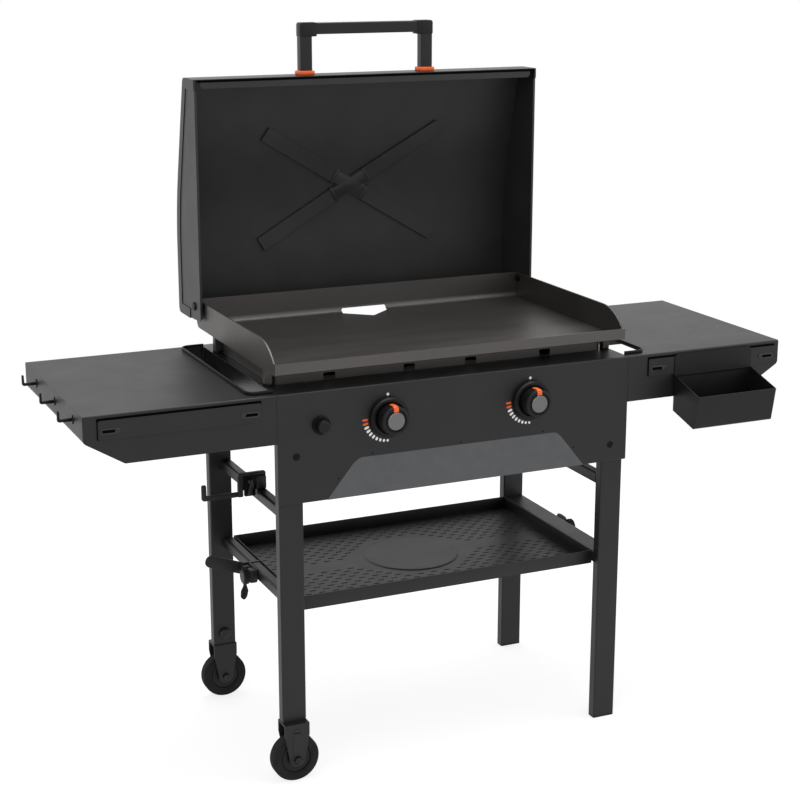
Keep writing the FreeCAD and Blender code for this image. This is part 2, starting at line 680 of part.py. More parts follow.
def tank_hanger():
    """Flat hook plate that stands on the upper left rail and carries a gas bottle's collar."""
    outer = LEFT_RAIL_FACE
    half = HANGER_ARM_HEIGHT / 2
    tip = HANGER_ARM_END
    corner = HANGER_CORNER
    points = [(HANGER_RIGHT, UPPER_RAIL_TOP), (HANGER_RIGHT, HANGER_TOP, corner),
              (HANGER_LEFT, HANGER_TOP, corner), (HANGER_LEFT, HANGER_ARM_Z + half, corner),
              (tip + HANGER_TIP_WIDTH, HANGER_ARM_Z + half, corner),
              (tip + HANGER_TIP_WIDTH - corner, HANGER_TIP_TOP, corner / 2),
              (tip - corner, HANGER_TIP_TOP, corner / 2), (tip, HANGER_ARM_Z - half, 2 * corner),
              (outer - corner, HANGER_ARM_Z - half, corner), (outer, UPPER_RAIL_TOP)]
    plate = prism(points, "xz", HANGER_Y - HANGER_SHEET / 2, HANGER_Y + HANGER_SHEET / 2)
    flange = block(HANGER_LEFT, HANGER_LEFT + HANGER_SHEET, HANGER_Y, HANGER_Y + HANGER_FLANGE,
                   HANGER_ARM_Z + half, HANGER_TOP - corner)
    foot = block(outer, HANGER_RIGHT, HANGER_Y, HANGER_Y + HANGER_FLANGE,
                 UPPER_RAIL_TOP, UPPER_RAIL_TOP + HANGER_SHEET)
    middle = HANGER_LEFT + 2 * HANGER_SLOT_WIDTH
    low = HANGER_TOP - HANGER_SLOT_TOP - HANGER_SLOT_HEIGHT
    high = HANGER_TOP - HANGER_SLOT_TOP
    half_slot = HANGER_SLOT_WIDTH / 2
    lean = HANGER_SLOT_LEAN
    slot = [(middle - half_slot, low, corner), (middle + half_slot, low, corner),
            (middle + half_slot + lean, high, corner), (middle - half_slot + lean, high, corner)]
    window = prism(slot, "xz", HANGER_Y - HANGER_SHEET, HANGER_Y + HANGER_SHEET)
    return joined([plate, flange, foot]).cut(window)


def tank_brace():
    """Angled arm that steadies a gas bottle, clamped on the lower left rail by a wing screw."""
    outer = LEFT_RAIL_FACE
    left = outer - HANGER_SHEET
    top = LOWER_RAIL_TOP + HANGER_SHEET
    bottom = LOWER_RAIL_TOP - RAIL_HEIGHT
    saddle = [(-LEG_INNER, LOWER_RAIL_TOP), (-LEG_INNER, top), (left, top, BRACE_CORNER),
              (left, bottom, BRACE_CORNER / 2), (outer, bottom), (outer, LOWER_RAIL_TOP)]
    clamp = prism(saddle, "xz", BRACE_FRONT, BRACE_BACK)
    half = BRACE_ARM_HEIGHT / 2
    end = Vector(*BRACE_ARM_END, 0)
    root = Vector(*BRACE_ARM_ROOT, 0)
    run = end - root
    run.normalize()
    up = Vector(run.y, -run.x, 0) * half
    arm_points = [(end.x + up.x, end.y + up.y, half - 1), (end.x - up.x, end.y - up.y, half - 1),
                  (root.x - up.x, root.y - up.y, BRACE_ARM_BEND), (left + 1, bottom),
                  (left + 1, top - BRACE_CORNER),
                  (root.x + up.x, root.y + up.y, BRACE_ARM_BEND)]
    arm = prism(arm_points, "xz", BRACE_BACK - HANGER_SHEET, BRACE_BACK)
    eye_place = end - run * half
    eye = rod(BRACE_EYE_RADIUS, (eye_place.x, BRACE_FRONT, eye_place.y),
              (eye_place.x, BRACE_BACK + 1, eye_place.y))
    bore = rod(WING_STUD_RADIUS + FIT, (left - 1, WING_Y, WING_Z), (outer + 1, WING_Y, WING_Z))
    return joined([clamp, arm]).cut([eye, bore])


def wing_knob(face, way):
    """Two-winged clamp screw: plastic barrel and wings on a threaded stud along x."""
    start = face + way * CLEARANCE
    end = start + way * WING_BARREL_LENGTH
    barrel = turned([(0, 0), (WING_BARREL_RADIUS - 2, 0), (WING_BARREL_RADIUS, 3),
                     (WING_BARREL_RADIUS, WING_BARREL_LENGTH), (0, WING_BARREL_LENGTH)],
                    (start, WING_Y, WING_Z), (way, 0, 0))
    tip = WING_TIP
    waist = WING_WAIST
    rise = WING_BARREL_RADIUS - 2
    reach = WING_SPAN / 2
    blend = WING_TIP - 1
    lobe = [(WING_Y - waist, WING_Z - rise, 2), (WING_Y - tip, WING_Z - reach, blend),
            (WING_Y + tip, WING_Z - reach, blend), (WING_Y + waist, WING_Z - rise, 2),
            (WING_Y + waist, WING_Z + rise, 2), (WING_Y + tip, WING_Z + reach, blend),
            (WING_Y - tip, WING_Z + reach, blend), (WING_Y - waist, WING_Z + rise, 2)]
    wings = prism(lobe, "yz", end - way * WING_THICKNESS, end + way * 1)
    stud = rod(WING_STUD_RADIUS, (start, WING_Y, WING_Z),
               (face - way * WING_STUD_LENGTH, WING_Y, WING_Z))
    return joined([barrel, wings, stud])


# Body panels
def control_panel():
    """Front panel bent back into the deck above and a narrow return below."""
    section = [(0, PANEL_BOTTOM, BEND), (LEG_SETBACK, PANEL_BOTTOM),
               (LEG_SETBACK, PANEL_BOTTOM + SHEET), (SHEET, PANEL_BOTTOM + SHEET, BEND - SHEET),
               (SHEET, DECK_UNDER, BEND - SHEET), (DECK_DEPTH, DECK_UNDER),
               (DECK_DEPTH, DECK_TOP), (0, DECK_TOP, BEND)]
    panel = prism(section, "yz", -PANEL_HALF, PANEL_HALF)
    ends = []
    for side in (-1, 1):
        ends.append(block(side * PANEL_HALF, side * (PANEL_HALF - SHEET), SHEET, LEG_SETBACK,
                          PANEL_BOTTOM + SHEET, DECK_UNDER))
    panel = joined([panel] + ends)
    holes = [rod(PLUG_RADIUS + 1, (side * KNOB_X, -1, KNOB_Z), (side * KNOB_X, SHEET + 1, KNOB_Z))
             for side in (-1, 1)]
    holes.append(rod(IGNITER_BODY_RADIUS + FIT, (IGNITER_X, -1, IGNITER_Z),
                     (IGNITER_X, SHEET + 1, IGNITER_Z)))
    for side, z in PANEL_SCREWS:
        holes.append(rod(AXLE_RADIUS + FIT, (side * PANEL_SCREW_X, -1, z),
                         (side * PANEL_SCREW_X, SHEET + 1, z)))
    return panel.cut(holes)


def panel_screw(side, z):
    """Round-headed screw that holds the panel to a front leg, with its spacer."""
    x = side * PANEL_SCREW_X
    back = LEG_SETBACK + LEG_WALL
    head = turned([(0, 0), (PANEL_SCREW_RADIUS, 0), (PANEL_SCREW_RADIUS - 2, PANEL_SCREW_HEAD - 1),
                   (0, PANEL_SCREW_HEAD)], (x, 0, z), (0, -1, 0))
    shank = rod(AXLE_RADIUS, (x, 0, z), (x, back + PANEL_SCREW_TAIL, z))
    spacer = rod(PANEL_SCREW_RADIUS, (x, SHEET, z), (x, LEG_SETBACK, z))
    return joined([head, shank, spacer])


def burner_box():
    """Folded box that carries the burners: sides, floor, back wall, fire wall and ledges."""
    pieces = []
    for side in (-1, 1):
        outer = side * BOX_HALF
        inner = side * (BOX_HALF - SHEET)
        pieces.append(block(outer, inner, LEG_SETBACK, FRAME_BACK, BOX_BOTTOM, DECK_UNDER))
        ledge = side * (BOX_HALF - BOX_LEDGE)
        pieces.append(block(outer, ledge, DECK_DEPTH + SEAM, FRAME_BACK, DECK_UNDER, DECK_TOP))
        pieces.append(block(outer, inner, DECK_DEPTH + SEAM, FRAME_BACK, DECK_UNDER - 1, DECK_TOP))
        for y0, y1 in ((LEG_SETBACK, FRONT_LEG_BACK), (REAR_LEG_FRONT, FRAME_BACK)):
            pieces.append(block(inner, side * LEG_OUTER, y0, y1, BOX_BOTTOM,
                                DECK_UNDER - 2 * CLEARANCE))
    floor_side = BOX_HALF - SHEET
    pieces.append(block(-floor_side, floor_side, DECK_DEPTH, REAR_LEG_FRONT - CLEARANCE,
                        BOX_BOTTOM, BOX_BOTTOM + SHEET))
    pieces.append(block(-floor_side, floor_side, DECK_DEPTH, DECK_DEPTH + SHEET,
                        BOX_BOTTOM, DECK_UNDER - CLEARANCE))
    pieces.append(block(-BOX_HALF, BOX_HALF, FRAME_BACK, FRAME_BACK + SHEET,
                        BOX_BOTTOM, DECK_TOP))
    pieces.append(block(-LEG_INNER + CLEARANCE, LEG_INNER - CLEARANCE,
                        REAR_LEG_FRONT - 2 * CLEARANCE, FRAME_BACK,
                        BOX_BOTTOM, BOX_BOTTOM + SHEET))
    box = joined(pieces)
    holes = []
    for side in (-1, 1):
        holes.append(rod(BURNER_TUBE + FIT, (side * KNOB_X, DECK_DEPTH - 1, KNOB_Z),
                         (side * KNOB_X, DECK_DEPTH + SHEET + 1, KNOB_Z)))
    half = BOX_VENT_LENGTH / 2
    deep = BOX_VENT_WIDTH / 2
    for step in (-1.5, -0.5, 0.5, 1.5):
        x = step * BOX_VENT_SPACING
        for y in BOX_VENT_ROWS:
            holes.append(prism(rectangle(x - half, x + half, y - deep, y + deep, BOX_VENT_CORNER),
                               "xy", BOX_BOTTOM - 1, BOX_BOTTOM + SHEET + 1))
    return box.cut(holes)


def shelf():
    """Right side shelf: folded top with aprons, open well beside the box."""
    cut_z = DECK_TOP - SIDE_APRON_HEIGHT
    apron = [(SHELF_INNER, APRON_BOTTOM), (SHELF_OUTER - APRON_CUT, APRON_BOTTOM, APRON_CORNERS[0]),
             (SHELF_OUTER, cut_z, APRON_CORNERS[1]), (SHELF_OUTER, DECK_TOP),
             (SHELF_INNER, DECK_TOP)]
    section = [(0, APRON_BOTTOM - 1), (0, DECK_TOP, BEND), (SHELF_DEPTH, DECK_TOP, BEND),
               (SHELF_DEPTH, APRON_BOTTOM - 1)]
    hollow = [(SHEET, APRON_BOTTOM - 2), (SHEET, DECK_UNDER, BEND - SHEET),
              (SHELF_DEPTH - SHEET, DECK_UNDER, BEND - SHEET),
              (SHELF_DEPTH - SHEET, APRON_BOTTOM - 2)]
    block_body = prism(apron, "xz", -1, SHELF_DEPTH + 1)
    body = block_body.common(prism(section, "yz", SHELF_INNER, SHELF_OUTER))
    inner_start = SHELF_INNER - 1
    inner_end = SHELF_OUTER - SHEET
    body = body.cut(prism(hollow, "yz", inner_start, inner_end))
    edge = SHELF_INNER + WELL_WIDTH
    flanges = []
    for y0, y1 in ((SHEET, WELL_MARGIN), (SHELF_DEPTH - WELL_MARGIN, SHELF_DEPTH - SHEET)):
        flanges.append(block(SHELF_INNER, SHELF_INNER + SHEET, y0, y1, APRON_BOTTOM, DECK_UNDER))
    flanges.append(block(edge, edge + SHEET, SHEET, SHELF_DEPTH - SHEET,
                         DECK_UNDER - WELL_FLANGE, DECK_UNDER))
    body = joined([body] + flanges)
    well = [(SHELF_INNER - 1, WELL_MARGIN), (edge, WELL_MARGIN, WELL_CORNER),
            (edge, SHELF_DEPTH - WELL_MARGIN, WELL_CORNER),
            (SHELF_INNER - 1, SHELF_DEPTH - WELL_MARGIN)]
    return body.cut(prism(well, "xy", DECK_UNDER - 0.01, DECK_TOP + 1))


def well_trim():
    """U-shaped edge trim that stands round three sides of the well."""
    edge = SHELF_INNER + WELL_WIDTH
    front = WELL_MARGIN
    back = SHELF_DEPTH - WELL_MARGIN
    wall = TRIM_WALL
    corner = WELL_CORNER + TRIM_WALL
    end = TRIM_END_CORNER
    outer = [(SHELF_INNER, front - wall, end), (edge + wall, front - wall, corner),
             (edge + wall, back + wall, corner), (SHELF_INNER, back + wall, end),
             (SHELF_INNER, back, end), (edge, back, WELL_CORNER), (edge, front, WELL_CORNER),
             (SHELF_INNER, front, end)]
    return prism(outer, "xy", DECK_TOP, DECK_TOP + TRIM_RISE)


def keyhole(end_x, way):
    """Keyhole slot: narrow part from end_x, round eye towards the middle of the strip."""
    z = DECK_TOP - SLOT_DROP
    half = SLOT_HEIGHT / 2
    far = end_x + way * SLOT_LENGTH
    slot = prism(rectangle(min(end_x, far), max(end_x, far), z - half, z + half, half - 0.2),
                 "xz", -STRIP_THICKNESS - 1, 1)
    eye_x = far + way * (SLOT_EYE_RADIUS * 0.7)
    eye = rod(SLOT_EYE_RADIUS, (eye_x, -STRIP_THICKNESS - 1, z), (eye_x, 1, z))
    return slot.fuse(eye)


def tool_strip(start):
    """Accessory strip on a shelf's front with a keyhole slot near each end."""
    end = start + STRIP_LENGTH
    plate = prism(rectangle(start, end, STRIP_BOTTOM, STRIP_TOP, 4), "xz", -STRIP_THICKNESS, 0)
    first = start + SLOT_INSET - SLOT_LENGTH / 2
    last = end - SLOT_INSET + SLOT_LENGTH / 2
    return plate.cut([keyhole(first, 1), keyhole(last, -1)])


def tool_hook(y):
    """Bent bar hook with a pad, standing out of the left shelf's end."""
    z = DECK_TOP - HOOK_DROP
    face = -SHELF_OUTER
    tip = face - HOOK_REACH
    half = HOOK_BAR / 2
    pad = prism(rectangle(y - HOOK_PAD, y + HOOK_PAD, z - HOOK_PAD, z + HOOK_PAD, 4), "yz",
                face - 2, face)
    bar = [(face, z - half), (face, z + half), (tip + HOOK_BAR, z + half, HOOK_BEND),
           (tip + HOOK_BAR, z + HOOK_RISE, 1), (tip, z + HOOK_RISE, 1),
           (tip, z - half, HOOK_BEND + HOOK_BAR)]
    return joined([pad, prism(bar, "xz", y - half, y + half)])


def tool_caddy():
    """Sheet bin hung over the right strip, tilted forwards and open at the top."""
    back = -STRIP_THICKNESS - CLEARANCE
    wall = back - SHEET
    bin_points = [(wall, CADDY_FLOOR_BACK, 3), (wall, CADDY_MOUTH_BACK),
                  (wall - CADDY_DEPTH, CADDY_MOUTH_FRONT), (wall - CADDY_FLOOR_DEPTH,
                                                            CADDY_FLOOR_FRONT, 5)]
    cavity = inset(bin_points, (0, -20, SHEET, SHEET))
    x0 = CADDY_START
    x1 = CADDY_START + CADDY_LENGTH
    shell = prism(bin_points, "yz", x0, x1).cut(prism(cavity, "yz", x0 + SHEET, x1 - SHEET))
    back_plate = prism([(x0, CADDY_FLOOR_BACK), (x1, CADDY_FLOOR_BACK), (x1, CADDY_TOP, 8),
                        (x0, CADDY_TOP, 8)], "xz", wall, back)
    hooks = []
    for x in (x0 + CADDY_HOOK_INSET, x1 - CADDY_HOOK_INSET - CADDY_HOOK_WIDTH):
        hooks.append(block(x, x + CADDY_HOOK_WIDTH, wall, -CLEARANCE,
                           STRIP_TOP, STRIP_TOP + SHEET))
    return joined([shell, back_plate] + hooks)


# Gas train
def knob_bezel(side):
    """Raised ring on the panel round one knob."""
    profile = [(BEZEL_BORE, 0), (BEZEL_RADIUS, 0), (BEZEL_RADIUS, BEZEL_DEPTH - 3),
               (BEZEL_RADIUS - 2, BEZEL_DEPTH), (BEZEL_BORE + 1, BEZEL_DEPTH),
               (BEZEL_BORE, BEZEL_DEPTH - 1)]
    return turned(profile, (side * KNOB_X, 0, KNOB_Z), (0, -1, 0))


def knob(side):
    """Control knob: flared skirt, tapering grip, recess for the cap and bore for the stem."""
    profile = [(STEM_RADIUS + FIT / 2, KNOB_BACK), (KNOB_SKIRT_RADIUS, KNOB_BACK),
               (KNOB_SKIRT_RADIUS, BEZEL_DEPTH + 2), (KNOB_GRIP_RADIUS + 1, BEZEL_DEPTH + 5),
               (KNOB_GRIP_RADIUS, KNOB_FRONT - 2), (KNOB_GRIP_RADIUS - 2, KNOB_FRONT),
               (CAP_RADIUS + FIT, KNOB_FRONT), (CAP_RADIUS + FIT, KNOB_FRONT - CAP_SEAT),
               (0, KNOB_FRONT - CAP_SEAT), (0, STEM_FRONT + FIT), (STEM_RADIUS + FIT / 2,
                                                                  STEM_FRONT + FIT)]
    return turned(profile, (side * KNOB_X, 0, KNOB_Z), (0, -1, 0))


def knob_cap(side):
    """Metal disc set in the knob's face."""
    base = KNOB_FRONT - CAP_SEAT
    top = KNOB_FRONT + CAP_RISE
    profile = [(0, base), (CAP_RADIUS, base), (CAP_RADIUS, top - 1), (CAP_RADIUS - 1, top),
               (0, top)]
    return turned(profile, (side * KNOB_X, 0, KNOB_Z), (0, -1, 0))


def valve_stem(side):
    """Steel stem: pushed in with the knob, flat on one side, sliding in the plug."""
    x = side * KNOB_X
    stem = rod(STEM_RADIUS, (x, -STEM_FRONT, KNOB_Z), (x, STEM_REAR, KNOB_Z))
    flat = block(x - STEM_RADIUS, x + STEM_RADIUS, -STEM_FRONT - 1, -KNOB_BACK - 6,
                 KNOB_Z + STEM_RADIUS - 1.2, KNOB_Z + STEM_RADIUS + 1)
    return stem.cut(flat)


def valve_plug(side):
    """Turning core of the valve with the bore that drives off the stem."""
    bore = STEM_RADIUS + PIN_CLEARANCE
    floor = STEM_REAR + KNOB_TRAVEL + 1
    front = VALVE_FRONT - 6
    profile = [(bore, front), (PLUG_RADIUS - PIN_CLEARANCE, front),
               (PLUG_RADIUS - PIN_CLEARANCE, floor + 6), (0, floor + 6), (0, floor),
               (bore, floor)]
    return turned(profile, (side * KNOB_X, 0, KNOB_Z), (0, 1, 0))


def gas_valve(side):
    """Brass valve body with its inlet leg on the manifold and the jet behind."""
    x = side * KNOB_X
    body = turned([(PLUG_RADIUS, VALVE_FRONT), (VALVE_RADIUS - 2, VALVE_FRONT),
                   (VALVE_RADIUS, VALVE_FRONT + 3), (VALVE_RADIUS, VALVE_BACK),
                   (0, VALVE_BACK), (0, STEM_REAR + KNOB_TRAVEL + 8),
                   (PLUG_RADIUS, STEM_REAR + KNOB_TRAVEL + 8)], (x, 0, KNOB_Z), (0, 1, 0))
    leg = rod(MANIFOLD_SIZE / 2 - 2, (x, MANIFOLD_Y, MANIFOLD_TOP), (x, MANIFOLD_Y, KNOB_Z))
    jet = rod(JET_RADIUS, (x, VALVE_BACK - 1, KNOB_Z), (x, VALVE_BACK + JET_LENGTH, KNOB_Z))
    return joined([body, leg, jet])


def gas_manifold():
    """Square pipe that feeds both valves, held on the panel's back by two angle straps."""
    half = MANIFOLD_SIZE / 2
    wall = MANIFOLD_WALL
    y0, y1 = MANIFOLD_Y - half, MANIFOLD_Y + half
    z0, z1 = MANIFOLD_TOP - MANIFOLD_SIZE, MANIFOLD_TOP
    reach = MANIFOLD_LENGTH / 2
    pipe = prism(rectangle(y0, y1, z0, z1, wall), "yz", -reach, reach)
    bore = prism(rectangle(y0 + wall, y1 - wall, z0 + wall, z1 - wall, wall / 2), "yz",
                 -reach - 1, reach - wall)
    pipe = pipe.cut(bore)
    low = z0 + 2 * STRAP_SHEET
    foot = SHEET + STRAP_SHEET
    straps = []
    for side in (-1, 1):
        x0 = side * (reach - STRAP_INSET) - STRAP_WIDTH / 2
        x1 = x0 + STRAP_WIDTH
        straps.append(block(x0, x1, foot, y0 + STRAP_SHEET / 2, low, low + STRAP_SHEET))
        straps.append(block(x0, x1, SHEET, foot, low, low + STRAP_RISE))
    return joined([pipe] + straps)


def gas_inlet():
    """Threaded inlet fitting on the left end of the manifold."""
    x = -MANIFOLD_LENGTH / 2
    z = MANIFOLD_TOP - MANIFOLD_SIZE / 2
    profile = [(3, 0), (10, 0), (10, 8), (INLET_RADIUS, 9), (INLET_RADIUS, INLET_LENGTH - 1.5),
               (INLET_RADIUS - 1.5, INLET_LENGTH), (3, INLET_LENGTH)]
    return turned(profile, (x, MANIFOLD_Y, z), (-1, 0, 0))


def burner(side):
    """H-shaped tube burner: flared mouth, feed tube, cross tube and two long arms."""
    x = side * KNOB_X
    reach = BURNER_ARM_SPACING / 2
    middle = (BURNER_ARM_FRONT + BURNER_ARM_BACK) / 2
    bore = BURNER_TUBE - BURNER_WALL
    mouth = turned([(BURNER_MOUTH_RADIUS - BURNER_WALL, 0), (BURNER_MOUTH_RADIUS, 0),
                    (BURNER_TUBE, 22), (BURNER_TUBE, middle - BURNER_MOUTH_Y),
                    (bore, middle - BURNER_MOUTH_Y), (bore, 22)],
                   (x, BURNER_MOUTH_Y, KNOB_Z), (0, 1, 0))
    cross = rod(BURNER_CROSS_TUBE, (x - reach, middle, KNOB_Z), (x + reach, middle, KNOB_Z))
    arms = [cross]
    for arm_x in (x - reach, x + reach):
        arms.append(rod(BURNER_TUBE, (arm_x, BURNER_ARM_FRONT, KNOB_Z),
                        (arm_x, BURNER_ARM_BACK, KNOB_Z)))
        for y in (BURNER_ARM_FRONT + 12, BURNER_ARM_BACK - 12):
            arms.append(rod(BURNER_FOOT, (arm_x, y, BOX_BOTTOM + SHEET), (arm_x, y, KNOB_Z)))
    return joined([mouth] + arms)


def igniter_module():
    """Igniter housing: collar on the panel's face, body behind it with the button's bore."""
    bore = IGNITER_BUTTON_RADIUS + CLEARANCE
    floor = IGNITER_BUTTON_BACK + BUTTON_TRAVEL + 1
    profile = [(bore, -IGNITER_COLLAR), (IGNITER_COLLAR_RADIUS - 1, -IGNITER_COLLAR),
               (IGNITER_COLLAR_RADIUS, 1 - IGNITER_COLLAR), (IGNITER_COLLAR_RADIUS, 0),
               (IGNITER_BODY_RADIUS, 0), (IGNITER_BODY_RADIUS, IGNITER_BODY_BACK),
               (0, IGNITER_BODY_BACK), (0, floor), (bore, floor)]
    return turned(profile, (IGNITER_X, 0, IGNITER_Z), (0, 1, 0))


def igniter_button():
    """Push button with a rounded face."""
    r = IGNITER_BUTTON_RADIUS
    f = IGNITER_BUTTON_FRONT
    profile = [(0, -IGNITER_BUTTON_BACK), (r, -IGNITER_BUTTON_BACK), (r, f - 3), (r - 1, f - 1),
               (r - 3, f), (0, f)]
    return turned(profile, (IGNITER_X, 0, IGNITER_Z), (0, -1, 0))


# Cooking plate
def griddle_plate():
    """Steel plate with a low front lip, swept side walls, a back wall and the grease way."""
    inner = PLATE_HALF - PLATE_WALL
    tray = [(PLATE_FRONT, LIP_TOP), (PLATE_FRONT, PLATE_BOTTOM, 3),
            (PLATE_BACK, PLATE_BOTTOM, BACK_BEND), (PLATE_BACK, GUARD_TOP),
            (PLATE_BACK - PLATE_WALL, GUARD_TOP),
            (PLATE_BACK - PLATE_WALL, PLATE_TOP, BACK_BEND - PLATE_WALL),
            (PLATE_FRONT + PLATE_WALL, PLATE_TOP), (PLATE_FRONT + PLATE_WALL, LIP_TOP)]
    body = prism(tray, "yz", -inner, inner)
    sweep_y = PLATE_FRONT + 9
    drop = GUARD_TOP - LIP_TOP
    run = math.sqrt(GUARD_SWEEP ** 2 - (GUARD_SWEEP - drop) ** 2)
    side_points = [(PLATE_FRONT, LIP_TOP), (PLATE_FRONT, PLATE_BOTTOM, 3),
                   (PLATE_BACK, PLATE_BOTTOM, BACK_BEND), (PLATE_BACK, GUARD_TOP, 6),
                   (sweep_y, GUARD_TOP), (sweep_y, LIP_TOP)]
    bay = Part.makeBox(10, run + 1, drop + 1, Vector(0, sweep_y - 1, LIP_TOP))
    curve = Part.makeCylinder(GUARD_SWEEP, 10, Vector(0, sweep_y + run, GUARD_TOP - GUARD_SWEEP),
                              Vector(1, 0, 0))
    cutter = bay.cut(curve)
    walls = []
    for x0 in (-PLATE_HALF, inner):
        wall = prism(side_points, "yz", x0, x0 + PLATE_WALL)
        corner = cutter.copy()
        corner.translate(Vector(x0 - 3, 0, 0))
        walls.append(wall.cut(corner))
    half = GREASE_WIDTH / 2
    floor_cut = prism([(-half, PLATE_BACK + 1), (-half, GREASE_SHOULDER),
                       (0, GREASE_APEX, GREASE_APEX_CORNER), (half, GREASE_SHOULDER),
                       (half, PLATE_BACK + 1)],
                      "xy", PLATE_BOTTOM - 1, PLATE_BOTTOM + BACK_BEND / 2)
    taper = GREASE_WALL_TAPER
    wall_cut = prism([(-half, PLATE_BOTTOM), (half, PLATE_BOTTOM), (half, GREASE_WALL_TOP, taper),
                      (-half, GREASE_WALL_TOP, taper)], "xz", PLATE_BACK - BACK_BEND,
                     PLATE_BACK + 1)
    body = joined([body] + walls).cut([floor_cut, wall_cut])
    return joined([body, grease_chute()]).cut(pivot_bores(PIVOT_THREAD + PIN_CLEARANCE))


def grease_chute():
    """Sloping trough under the grease way, welded to the plate."""
    half = GREASE_WIDTH / 2 + CHUTE_SHEET + CLEARANCE
    start = GREASE_APEX - CHUTE_LAP - CHUTE_SHEET
    bend = start + CHUTE_LAP
    under = PLATE_BOTTOM - CHUTE_SHEET
    drop = (CHUTE_END - bend) * CHUTE_SLOPE
    floor = [(start, PLATE_BOTTOM), (bend, PLATE_BOTTOM), (CHUTE_END, PLATE_BOTTOM - drop),
             (CHUTE_END, under - drop), (bend, under), (start, under)]
    cheek = [(start, PLATE_BOTTOM), (start, under), (bend, under), (CHUTE_END, under - drop),
             (CHUTE_END, PLATE_BOTTOM - drop + CHUTE_LIP), (PLATE_BACK - BACK_BEND, PLATE_BOTTOM)]
    trough = [prism(floor, "yz", -half, half)]
    for x0 in (-half, half - CHUTE_SHEET):
        trough.append(prism(cheek, "yz", x0, x0 + CHUTE_SHEET))
    return joined(trough)


def pivot_bores(radius):
    """Hinge holes through both ends."""
    reach = HOOD_HALF + 5
    return [rod(radius, (side * (PLATE_HALF - 20), HINGE_Y, HINGE_Z),
                (side * reach, HINGE_Y, HINGE_Z)) for side in (-1, 1)]


def foot_places():
    return [(side * FOOT_X, y) for side in (-1, 1) for y in (FOOT_FRONT_Y, FOOT_BACK_Y)]


def plate_feet():
    """Four square posts welded under the plate, bored for the levelling screws."""
    half = FOOT_SIZE / 2
    bottom = DECK_TOP + ADJUSTER_HEIGHT
    posts = []
    for x, y in foot_places():
        post = prism(rectangle(x - half, x + half, y - half, y + half, 1.5), "xy",
                     bottom, PLATE_BOTTOM)
        posts.append(post.cut(rod(ADJUSTER_STUD + PIN_CLEARANCE, (x, y, bottom - 1),
                                  (x, y, bottom + ADJUSTER_THREAD + 1))))
    return group(posts)


def plate_adjusters():
    """Levelling screws that stand on the deck and the ledges."""
    screws = []
    for x, y in foot_places():
        top = DECK_TOP + ADJUSTER_HEIGHT
        profile = [(0, DECK_TOP), (ADJUSTER_RADIUS - 1, DECK_TOP), (ADJUSTER_RADIUS, DECK_TOP + 1),
                   (ADJUSTER_RADIUS, top), (ADJUSTER_STUD, top),
                   (ADJUSTER_STUD, top + ADJUSTER_THREAD), (0, top + ADJUSTER_THREAD)]
        screws.append(turned(profile, (x, y, 0), (0, 0, 1)))
    return group(screws)


def wind_guard():
    """Bent sheet under the plate that shields the flames, with four vents in front."""
    side = SKIRT_SIDE
    t = SKIRT_SHEET
    outer = [(-side, SKIRT_BACK), (-side, SKIRT_FRONT, SKIRT_CORNER),
             (side, SKIRT_FRONT, SKIRT_CORNER), (side, SKIRT_BACK),
             (side - t, SKIRT_BACK), (side - t, SKIRT_FRONT + t, SKIRT_CORNER - t),
             (t - side, SKIRT_FRONT + t, SKIRT_CORNER - t), (t - side, SKIRT_BACK)]
    strip = prism(outer, "xy", SKIRT_BOTTOM, PLATE_BOTTOM)
    vents = []
    for x in VENT_PLACES:
        half = VENT_WIDTH / 2
        vents.append(prism(rectangle(x - half, x + half, VENT_BOTTOM, PLATE_BOTTOM - 8, 3), "xz",
                           SKIRT_FRONT - 1, SKIRT_FRONT + t + 1))
    return strip.cut(vents)


def pivot_screw():
    """Right hinge screw: head outside the hood, collar between, nut inside the plate."""
    end_outer = HOOD_END_OUTER + CLEARANCE
    end_inner = HOOD_END_INNER - CLEARANCE
    inside = PLATE_HALF - PLATE_WALL
    profile = [(0, inside - PIVOT_NUT_THICKNESS - 2), (PIVOT_THREAD, inside - PIVOT_NUT_THICKNESS - 2),
               (PIVOT_THREAD, inside - PIVOT_NUT_THICKNESS), (PIVOT_NUT, inside - PIVOT_NUT_THICKNESS),
               (PIVOT_NUT, inside), (PIVOT_THREAD, inside), (PIVOT_THREAD, PLATE_HALF),
               (PIVOT_COLLAR, PLATE_HALF), (PIVOT_COLLAR, end_inner), (PIVOT_SHOULDER, end_inner),
               (PIVOT_SHOULDER, end_outer), (PIVOT_HEAD, end_outer),
               (PIVOT_HEAD - 1.5, end_outer + PIVOT_HEAD_THICKNESS),
               (0, end_outer + PIVOT_HEAD_THICKNESS)]
    return turned(profile, (0, HINGE_Y, HINGE_Z), (1, 0, 0))


# Hood
def hood_profile():
    """Outside of the hood in the yz plane, running anticlockwise from the front top edge."""
    return [(HOOD_FRONT, HOOD_TOP), (HOOD_FRONT, HOOD_END_FOOT), (HOOD_FLANGE_START, HOOD_FOOT - 2),
            (HOOD_BACK, HOOD_FOOT - 2, HOOD_CORNER), (*HOOD_SHOULDER, HOOD_SHOULDER_RADIUS),
            (HOOD_CROWN_BACK, HOOD_TOP, HOOD_CORNER)]


def hood_section(front, wall):
    """Hood outline with a level foot, its front edge and its other edges moved inwards."""
    points = [(HOOD_FRONT, HOOD_TOP), (HOOD_FRONT, HOOD_FOOT - 2),
              (HOOD_BACK, HOOD_FOOT - 2, HOOD_CORNER), (*HOOD_SHOULDER, HOOD_SHOULDER_RADIUS),
              (HOOD_CROWN_BACK, HOOD_TOP, HOOD_CORNER)]
    return inset(points, (front, wall, wall, wall, wall))


